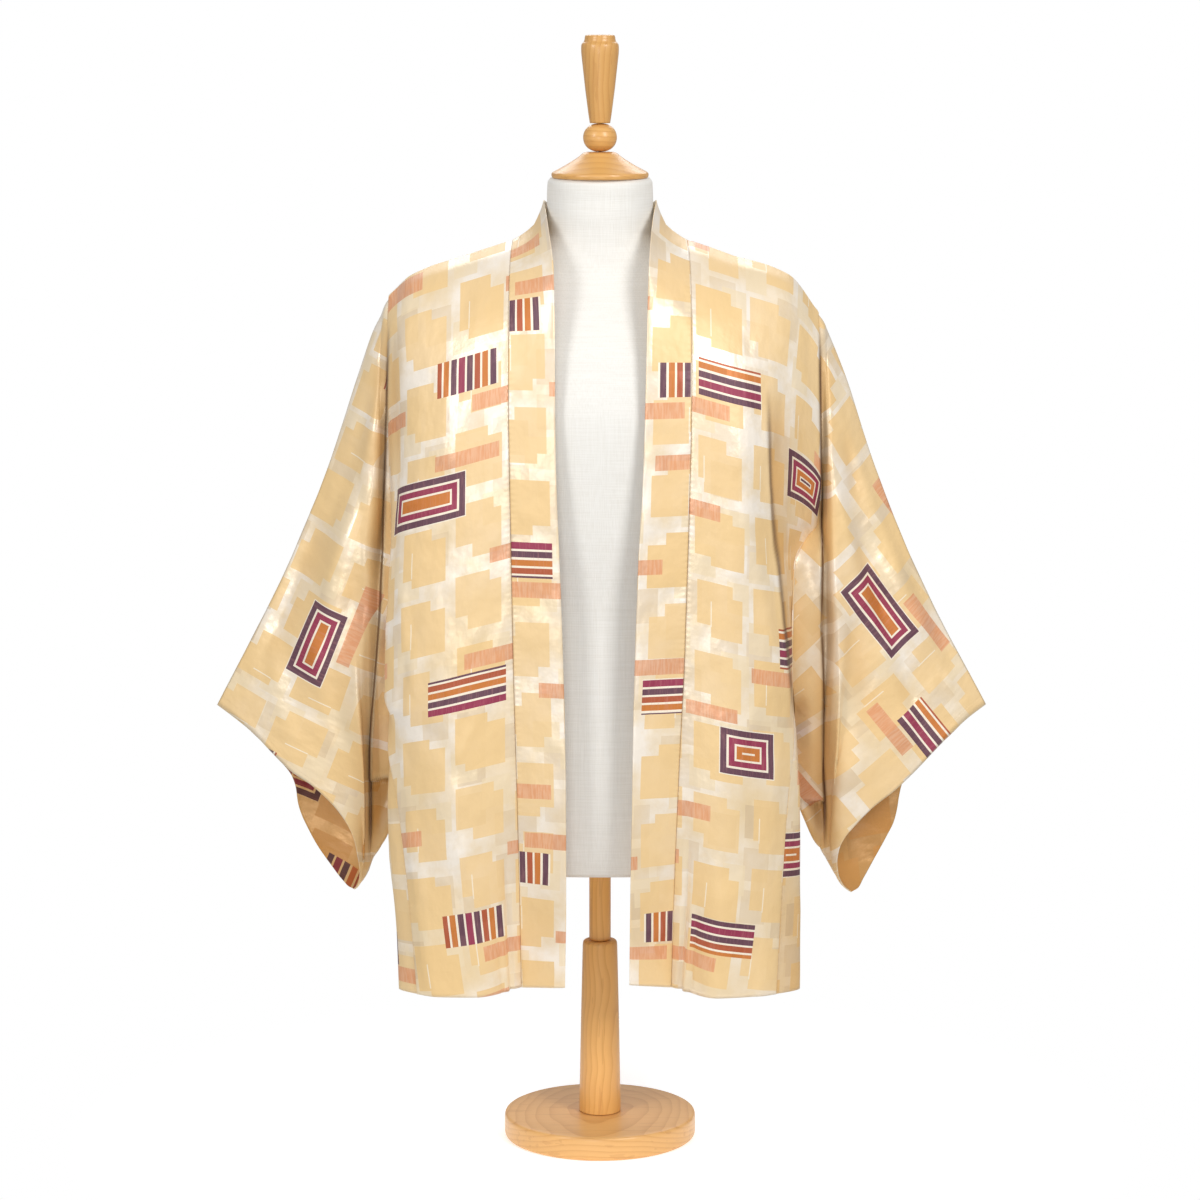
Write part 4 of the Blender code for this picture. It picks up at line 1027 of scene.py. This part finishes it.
class Finish:
    """A material whose nodes are added by calls and sums."""

    def __init__(self, name):
        self.material = bpy.data.materials.new(name)
        self.material.use_nodes = True
        self.tree = self.material.node_tree
        self.shader = self.tree.nodes["Principled BSDF"]

    def node(self, kind, settings=None, values=None, output=0):
        """A node by type: its settings first, then its sockets' values or links."""
        made = self.tree.nodes.new("ShaderNode" + kind)
        for key, value in (settings or {}).items():
            setattr(made, key, value)
        for key, value in (values or {}).items():
            self.feed(made.inputs[key], value)
        return Value(self, made.outputs[output])

    def feed(self, socket, value):
        if isinstance(value, Value):
            self.tree.links.new(value.socket, socket)
        else:
            socket.default_value = value

    def math(self, operation, a, b):
        return self.node("Math", {"operation": operation}, {0: a, 1: b})

    def vector(self, operation, a, b=(0.0, 0.0, 0.0)):
        return self.node("VectorMath", {"operation": operation}, {0: a, 1: b})

    def place(self):
        """The place on the object in metres, whole and as its three parts."""
        where = self.node("TexCoord", output=3)
        return where, *self.split(where)

    def split(self, vector):
        outputs = self.node("SeparateXYZ", None, {0: vector}).socket.node.outputs
        return [Value(self, outputs[i]) for i in range(3)]

    def joined(self, x, y, z=0.0):
        return self.node("CombineXYZ", None, {0: x, 1: y, 2: z})

    def mix(self, share, a, b, blend="MIX"):
        return self.node("Mix", {"data_type": "RGBA", "blend_type": blend},
                         {0: share, 6: a, 7: b}, 2)

    def times(self, colour, tint):
        return self.mix(1.0, colour, tint, "MULTIPLY")

    def noise(self, vector, scale, detail=2.0, roughness=0.5):
        return self.node("TexNoise", None, {"Vector": vector, "Scale": scale,
                                            "Detail": detail, "Roughness": roughness})

    def ramp(self, value, stops, interpolation="LINEAR"):
        """A colour ramp with a stop for each place and colour."""
        made = self.node("ValToRGB", None, {0: value})
        ramp = made.socket.node.color_ramp
        while len(ramp.elements) > 1:
            ramp.elements.remove(ramp.elements[-1])
        for number, (place, colour) in enumerate(stops):
            element = ramp.elements.new(place) if number else ramp.elements[0]
            element.position, element.color = place, colour
        ramp.interpolation = interpolation
        return made

    def rise(self, value, low, high):
        """0 up to a low value, 1 from a high one, and a straight way between."""
        return self.ramp(value, ((low, (0, 0, 0, 1)), (high, (1, 1, 1, 1))))

    def bump(self, height, distance):
        return self.node("Bump", None, {"Strength": 1.0, "Distance": distance,
                                        "Height": height})

    def set(self, **values):
        for key, value in values.items():
            self.feed(self.shader.inputs[key.replace("_", " ")], value)
        return self.material


def dye(red, green, blue):
    """Linear colour of a shade given as 0 to 255."""
    def linear(part):
        part = part / 255
        return part / 12.92 if part <= 0.04045 else ((part + 0.055) / 1.055) ** 2.4
    return (linear(red), linear(green), linear(blue), 1.0)


CREAM = dye(254, 243, 223)
PEARL = dye(244, 224, 188)
BLOCK = dye(240, 204, 142)
BLOCK_DEEP = dye(235, 195, 128)
PALE = dye(246, 224, 182)
GOLD_GROUND = dye(242, 212, 156)
GREY_WASH = dye(226, 200, 158)
LINE = dye(250, 238, 212)
# Tints of painted shade: the shadow line along a fold and the golden shade beside it.
PAINTED_CREVICE_TINT = (0.13, 0.07, 0.03, 1.0)
PAINTED_SHADE_TINT = (0.8, 0.62, 0.39, 1.0)
AUBERGINE = dye(92, 52, 74)
MAGENTA = dye(150, 32, 76)
ORANGE = dye(204, 118, 42)
APRICOT = dye(226, 152, 104)
BRICK = dye(176, 80, 44)

BLOCK_WIDE = 0.06  # cells of the ground, across and down
BLOCK_HIGH = 0.0715
PATCH_WIDE = 0.037
PATCH_HIGH = 0.044

# The bolt's repeat in metres, across and down, and what is printed in it. A row is
# the middle's place across and down, half its width and half its height.
REPEAT = (0.46, 0.56)
NESTED_BOXES = small((
    (700, 600, 400, 220), (3000, 1580, 300, 240), (1500, 3120, 460, 230),
    (3920, 4240, 340, 260),
))
STRIPED_BARS = small((
    (3720, 460, 360, 200), (2820, 3520, 340, 180), (1960, 5120, 400, 180),
))
UPRIGHT_BARS = small((
    (1960, 1960, 330, 170), (400, 4400, 360, 180),
))
PLAIN_BARS = small((
    (1040, 950, 420, 80), (3450, 770, 420, 75), (2620, 1220, 260, 70), (860, 2240, 360, 75),
    (2320, 2260, 300, 80), (1960, 2770, 340, 75), (2500, 3810, 300, 75), (4300, 3880, 240, 80),
    (740, 4670, 300, 80), (2320, 4820, 380, 80),
))
BOX_BANDS = (
    (0.0, LINE), (0.001, AUBERGINE), (0.0072, LINE), (0.0094, MAGENTA),
    (0.0152, LINE), (0.0172, ORANGE), (0.023, LINE), (0.0246, AUBERGINE),
)
BAR_BANDS = (
    (0.0, LINE), (0.002, ORANGE), (0.0082, LINE), (0.0106, AUBERGINE),
    (0.0168, LINE), (0.019, MAGENTA), (0.0258, LINE), (0.028, AUBERGINE),
    (0.034, LINE), (0.036, BRICK),
)
BOX_REACH = 0.032
BAR_PERIOD = 0.042


def inside(silk, place, rows):
    """Largest over the rows of the least distance to a rectangle's border."""
    total = None
    for u, v, half_u, half_v in rows:
        away = silk.vector("ABSOLUTE", silk.vector("SUBTRACT", place, (u, v, 0.0)))
        x, y, _ = silk.split(silk.vector("SUBTRACT", (half_u, half_v, 0.0), away))
        edge = x.least(y)
        total = edge if total is None else total.most(edge)
    return total


def cells(silk, u, v, wide, high, slip):
    """Columns of cells, each slipped down by its own chance; gives the place in a
    cell, from 0 to 1, and three chance numbers for the cell."""
    column = (u / wide).floor()
    shift = silk.node("TexWhiteNoise", {"noise_dimensions": "1D"}, {"W": column + slip})
    down = v / high + shift * 0.6
    cell = silk.joined(column, down.floor(), slip)
    odd = silk.node("TexWhiteNoise", {"noise_dimensions": "3D"}, {"Vector": cell}, 1)
    return (u / wide).fract(), down.fract(), silk.split(odd)


def grounded(silk, uv, u, v, free):
    """Cream satin with a painted sheen, that turns golden in places and towards the free edges,
    faint patches, and stepped blocks of two slipped rectangles each, with a thin light line where
    the second begins. Gives colour and block share."""
    # painted sheen: the cream ground mottled paler and duller as crumpled satin reflects the
    # lights
    painted_sheen = silk.rise(silk.noise(uv, 24.0, 4.0, 0.6), 0.36, 0.60)
    colour = silk.mix(painted_sheen, PEARL, CREAM)
    low = 1.0 - (free / 0.34).least(1.0)
    golden = silk.rise(silk.noise(uv, 7.0, 1.0) + low * 0.13, 0.52, 0.68)
    colour = silk.mix(golden * 0.65, colour, GOLD_GROUND)
    x, y, (r, g, b) = cells(silk, u, v, PATCH_WIDE, PATCH_HIGH, 7.0)
    patch = r.above(0.56) * x.between(0.04, 0.80) * y.between(0.08, 0.86)
    colour = silk.mix(patch * (0.20 + 0.40 * g + 0.25 * golden), colour, GREY_WASH)
    x, y, (r, g, b) = cells(silk, u, v, BLOCK_WIDE, BLOCK_HIGH, 3.0)
    start = 0.22 + 0.16 * g
    one = x.between(0.06 + 0.08 * r, 0.60 + 0.14 * g) * y.between(0.07, 0.64 + 0.10 * b)
    two = x.above(start) * x.below(0.86 + 0.06 * b) * y.between(0.20 + 0.06 * r, 0.84)
    pale_one = x.above(0.48 + 0.2 * r) * y.between(0.0, 0.44)
    pale_two = x.below(0.30 + 0.16 * b) * y.above(0.56)
    pale = (pale_one * g.above(0.5)).most(pale_two * b.above(0.4))
    colour = silk.mix(pale * 0.75, colour, PALE)
    block = one.most(two)
    tint = silk.mix(r, BLOCK, BLOCK_DEEP)
    colour = silk.mix(block * (0.80 + 0.16 * b), colour, silk.mix(0.55, tint, BLOCK))
    gap = (x - start).size().below(0.009) * y.between(0.34, 0.70) * r.above(0.35)
    return silk.mix(gap * 0.8, colour, LINE), block


def silk_print(name, shade):
    """Satin printed with stepped blocks, nested boxes and bars striped either way; the shade
    multiplies the whole print, and the third map adds painted shade: a golden shade and a shadow
    line along the folds."""
    silk = Finish(name)
    uv, sewing, fold = (silk.node("UVMap", {"uv_map": title})
                        for title in ("Print", "Sewing", "FoldPaintedShade"))
    painted_crevice, painted_fold_shade, _ = silk.split(fold)
    seam, free, _ = silk.split(sewing)
    u, v, _ = silk.split(uv)
    colour, block = grounded(silk, uv, u, v, free)
    threads = silk.noise(silk.joined(u * 1400.0, v * 12.0), 1.0, 2.0, 0.6)
    brush = silk.noise(silk.joined(u * 520.0, v * 46.0), 1.0, 2.0, 0.6)
    place = silk.vector("FRACTION", silk.vector("DIVIDE", uv, (*REPEAT, 1.0)))
    place = silk.vector("MULTIPLY", place, (*REPEAT, 0.0))
    plain, upright, bars, boxes = (
        inside(silk, place, rows)
        for rows in (PLAIN_BARS, UPRIGHT_BARS, STRIPED_BARS, NESTED_BOXES))
    hatched = silk.mix(silk.rise(brush, 0.42, 0.58), APRICOT, dye(232, 172, 130))
    colour = silk.mix(plain.above(0.0) * 0.88, colour, hatched)
    for edge, way, reach, bands in (
            (upright, (u / BAR_PERIOD).fract(), BAR_PERIOD, BAR_BANDS),
            (bars, (v / BAR_PERIOD).fract(), BAR_PERIOD, BAR_BANDS),
            (boxes, boxes / BOX_REACH, BOX_REACH, BOX_BANDS)):
        stops = tuple((start / reach, band) for start, band in bands)
        colour = silk.mix(edge.above(0.0), colour, silk.ramp(way, stops, "CONSTANT"))
    ink = boxes.most(bars).most(upright).above(0.0)
    # The last of these, a light line along the free edges, is a painted highlight on the rolled
    # hem.
    for share, tint in ((ink * silk.rise(brush, 0.50, 0.80) * 0.25, dye(214, 150, 140)),
                        (threads * 0.10, dye(214, 180, 126)),
                        (seam.bell(0.0008) * 0.22, dye(206, 150, 86)),
                        (free.bell(0.0012) * 0.35, dye(252, 236, 205))):
        colour = silk.mix(share, colour, tint)
    # the shade multiplies the print: a slight tint on the face, and on the reverse a deep warm
    # tint that is painted shade for the insides
    colour = silk.times(colour, shade)
    # painted shade of the folds: golden where the cloth lies in shade, then a shadow line along
    # each fold
    colour = silk.mix(painted_fold_shade, colour, silk.times(colour, PAINTED_SHADE_TINT))
    colour = silk.mix(painted_crevice, colour, silk.times(colour, PAINTED_CREVICE_TINT))
    weave = (u * 5200.0).sine() * (v * 2600.0 + u * 1300.0).sine()
    puckers = (v * 1050.0).sine() * seam.bell(0.005)
    crumple = silk.noise(silk.joined(u * 40.0, v * 24.0), 1.0, 2.5, 0.5)
    fine = silk.noise(uv, 190.0, 2.0, 0.5)
    hemmed = free.between(0.006, 0.0072)
    bumped = silk.bump(crumple * 2.0 + fine * 0.20 + puckers * 0.08 - hemmed * 0.05
                       + weave * 0.010, 0.0011)
    roughness = 0.31 + 0.11 * block + 0.14 * ink + 0.05 * threads
    silk.set(Base_Color=colour, Roughness=roughness, Metallic=0.17 - 0.12 * block,
             Normal=bumped)
    return silk.set(Specular_IOR_Level=0.50, Sheen_Weight=0.08, Sheen_Roughness=0.4)


def linen_cover(name):
    """Plain weave: crossed sine waves broken by uneven threads."""
    linen = Finish(name)
    _, x, y, z = linen.place()
    warp = linen.noise(linen.joined(x, y, z * 0.03), 900.0, 1.0)
    weft = linen.noise(linen.joined(x * 0.03, y * 0.03, z), 900.0, 1.0)
    slub = linen.noise(linen.joined(x * 0.2, y * 0.2, z * 2.0), 260.0, 2.0)
    threads = warp + weft
    shade = linen.ramp(threads * 0.5, ((0.30, dye(226, 223, 216)), (0.65, dye(236, 234, 229))))
    colour = linen.mix(slub * 0.3, shade, dye(230, 227, 220))
    height = threads * 0.6 + slub * 0.2
    linen.set(Base_Color=colour, Roughness=0.85 + 0.1 * warp, Normal=linen.bump(height, 0.0002))
    return linen.set(Sheen_Weight=0.25, Sheen_Roughness=0.5)


def beech(name, upright, tint_and_painted_light):
    """Growth rings as a wave of the distance from a far axis, bent by slow noise, and short
    fibres drawn out along the grain; the whole is multiplied by a tint that is partly the beech's
    colour and partly painted light and shade for how brightly the part is lit."""
    wood = Finish(name)
    where, x, y, z = wood.place()
    drift = wood.noise(where, 9.0, 2.0)
    if upright:
        a = x + 0.045 + drift * 0.02
        b = y - 0.030 + z * 0.02
    else:
        a = y * 0.42 + drift * 0.010
        b = z + 0.050 + x * x * 3.2 + drift * 0.006
    fibre, fleck = (
        wood.noise(wood.joined(x, y, z * drawn) if upright else wood.joined(x * drawn, y, z),
                   scale, detail)
        for drawn, scale, detail in ((0.05, 520.0, 3.0), (0.10, 160.0, 2.0)))
    ring = ((a * a + b * b) ** 0.5 * 190.0 + drift * 1.5).fract()
    late = ring ** 3.0
    colour = wood.mix(late * 0.55, dye(226, 180, 118), dye(196, 141, 78))
    colour = wood.mix(fibre * 0.30, colour, dye(206, 152, 90))
    colour = wood.mix(fleck.above(0.62) * 0.20, colour, dye(178, 122, 66))
    height = fibre * 0.5 + late * 0.3
    wood.set(Base_Color=wood.times(colour, tint_and_painted_light), Roughness=0.34 + 0.14 * fibre,
             Normal=wood.bump(height, 0.00025))
    return wood.set(Coat_Weight=0.25, Coat_Roughness=0.2)


# --- the stage
def studio():
    """Camera, softboxes, pale world and pale floor."""
    scene = bpy.context.scene
    lens = bpy.data.cameras.new("camera")
    lens.lens = CAMERA_LENS
    lens.sensor_width = SENSOR_WIDTH
    lens.clip_end = 500.0
    camera = linked("camera", lens)
    camera.location = CAMERA_PLACE
    camera.rotation_euler = CAMERA_TURN
    bpy.context.scene.camera = camera
    for name, place, faces, size, watts in LAMPS:
        light = bpy.data.lights.new(name, "AREA")
        light.shape = "RECTANGLE"
        light.size, light.size_y = size
        light.energy = watts
        lamp = linked(name, light)
        lamp.location = place
        x, y, z = np.array(faces) - np.array(place)
        lamp.rotation_euler = (math.atan2(math.hypot(x, y), -z), 0.0,
                               math.atan2(y, x) - math.pi / 2)
    scene.world = bpy.data.worlds.new("studio")
    scene.world.use_nodes = True
    tree = scene.world.node_tree
    back = tree.nodes["Background"]
    back.inputs["Color"].default_value = (1.0, 1.0, 1.0, 1.0)
    path = tree.nodes.new("ShaderNodeLightPath")
    strength = tree.nodes.new("ShaderNodeMapRange")
    strength.inputs["To Min"].default_value = WORLD_LIGHT
    strength.inputs["To Max"].default_value = WORLD_SEEN
    tree.links.new(path.outputs["Is Camera Ray"], strength.inputs["Value"])
    tree.links.new(strength.outputs["Result"], back.inputs["Strength"])
    far = FLOOR_REACH
    mesh = bpy.data.meshes.new("floor")
    mesh.from_pydata([(-far, -far, 0), (far, -far, 0), (far, far, 0), (-far, far, 0)], [],
                     [(0, 1, 2, 3)])
    floor = linked("floor", mesh)
    paper = Finish("pale_floor")
    _, x, y, _ = paper.place()
    away = (x * x + y * y) ** 0.5
    fade = paper.ramp(away / far, ((0.35, (1, 1, 1, 1)), (0.95, (0, 0, 0, 1))), "EASE")
    floor.data.materials.append(paper.set(Base_Color=(0.9, 0.9, 0.9, 1.0), Roughness=0.9,
                                          Emission_Color=(1.0, 1.0, 1.0, 1.0),
                                          Emission_Strength=FLOOR_GLOW, Alpha=fade))
    scene.view_settings.view_transform = "Standard"


def dressed(obj, slot, nodes, *materials):
    """Gives a piece its finishes and its place in the frame."""
    for material in materials:
        obj.data.materials.append(material)
    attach(obj, "root")
    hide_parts(*nodes)
    return obj


studio()
SILK = silk_print("printed_satin", (0.955, 0.965, 1.03, 1.0))
# The reverse, used inside the pieces, is the same print given a deep warm tint as painted shade.
REVERSE_PAINTED_SHADE = silk_print("satin_reverse_painted_shade", (0.72, 0.49, 0.26, 1.0))
LINEN = linen_cover("linen_cover")
# Copies of the beech, one for each part: partly the wood's colour, partly painted light and
# shade, some lighter and some duller by how brightly each part is lit.
UPRIGHT = beech("beech_upright", True, (1.10, 1.01, 0.78, 1.0))
HANDLE_WOOD = beech("beech_handle", True, (0.90, 0.82, 0.63, 1.0))
LEVEL = beech("beech_level", False, (0.97, 0.91, 0.80, 1.0))
CAP_WOOD = beech("beech_cap", False, (0.98, 0.90, 0.70, 1.0))

panel_right, area_right = body_panel("haori_body_right", -1, FRONT_RIGHT, CREASES_FRONT_RIGHT,
                                     FOLDS_FRONT_RIGHT, (0.330, 0.085))
panel_left, area_left = body_panel("haori_body_left", 1, FRONT_LEFT, CREASES_FRONT_LEFT,
                                   FOLDS_FRONT_LEFT, (0.150, 0.230))
gusset_right, area_gr = gusset("haori_gusset_right", -1, FRONT_RIGHT, "right", (0.100, 0.300))
gusset_left, area_gl = gusset("haori_gusset_left", 1, FRONT_LEFT, "left", (0.290, 0.120))
band, area_band = collar("haori_collar_band", (0.195, 0.060))
sleeve_r, area_sr = sleeve("haori_sleeve_right", -1, SLEEVE_RIGHT, FOLDS_RIGHT, FRONT_RIGHT,
                           TUCK_RIGHT, MEET_RIGHT_Z, (MOUTH_RIGHT_FRONT, MOUTH_RIGHT_BACK),
                           FOLDS_FRONT_RIGHT,
                           (ARM_LINE_RIGHT, ROLL_LOW_RIGHT, ROLL_FOLDS_RIGHT),
                           CREASES_SLEEVE_RIGHT, 0.0, (0.420, 0.540))
sleeve_l, area_sl = sleeve("haori_sleeve_left", 1, SLEEVE_LEFT, FOLDS_LEFT, FRONT_LEFT,
                           TUCK_LEFT, ARM_LOW_Z, (MOUTH_LEFT_FRONT, MOUTH_LEFT_BACK),
                           FOLDS_FRONT_LEFT, (ARM_LINE_LEFT, ROLL_LOW_LEFT, ()),
                           CREASES_SLEEVE_LEFT, 0.28, (0.340, 0.160))

for piece, node in ((panel_right, "body_panel_right"), (panel_left, "body_panel_left"),
                    (gusset_right, "side_gusset_right"), (gusset_left, "side_gusset_left"),
                    (band, "collar_band"), (sleeve_r, "sleeve_right"), (sleeve_l, "sleeve_left")):
    dressed(piece, "silk", (node,), *((SILK,) if piece is band else (SILK, REVERSE_PAINTED_SHADE)))
form = dressed(linen_form("dress_form"), "linen", ("form_torso",), LINEN)
for name, profile, radius, node, wood in (
        ("stand_base", BASE, CORNER, "base_disc", LEVEL),
        ("stand_post", POST, CORNER, "tapered_post", UPRIGHT),
        ("stand_rod", ROD, CORNER, "upper_rod", UPRIGHT),
        ("neck_cap_turned", CAP, CORNER, "neck_cap", CAP_WOOD),
        ("finial_ball_turned", ball_profile(), BALL_CORNER, "finial_ball", CAP_WOOD),
        ("finial_handle_turned", HANDLE, CORNER, "finial_handle", HANDLE_WOOD)):
    dressed(turned(name, profile, radius), "beech", (node,), wood)
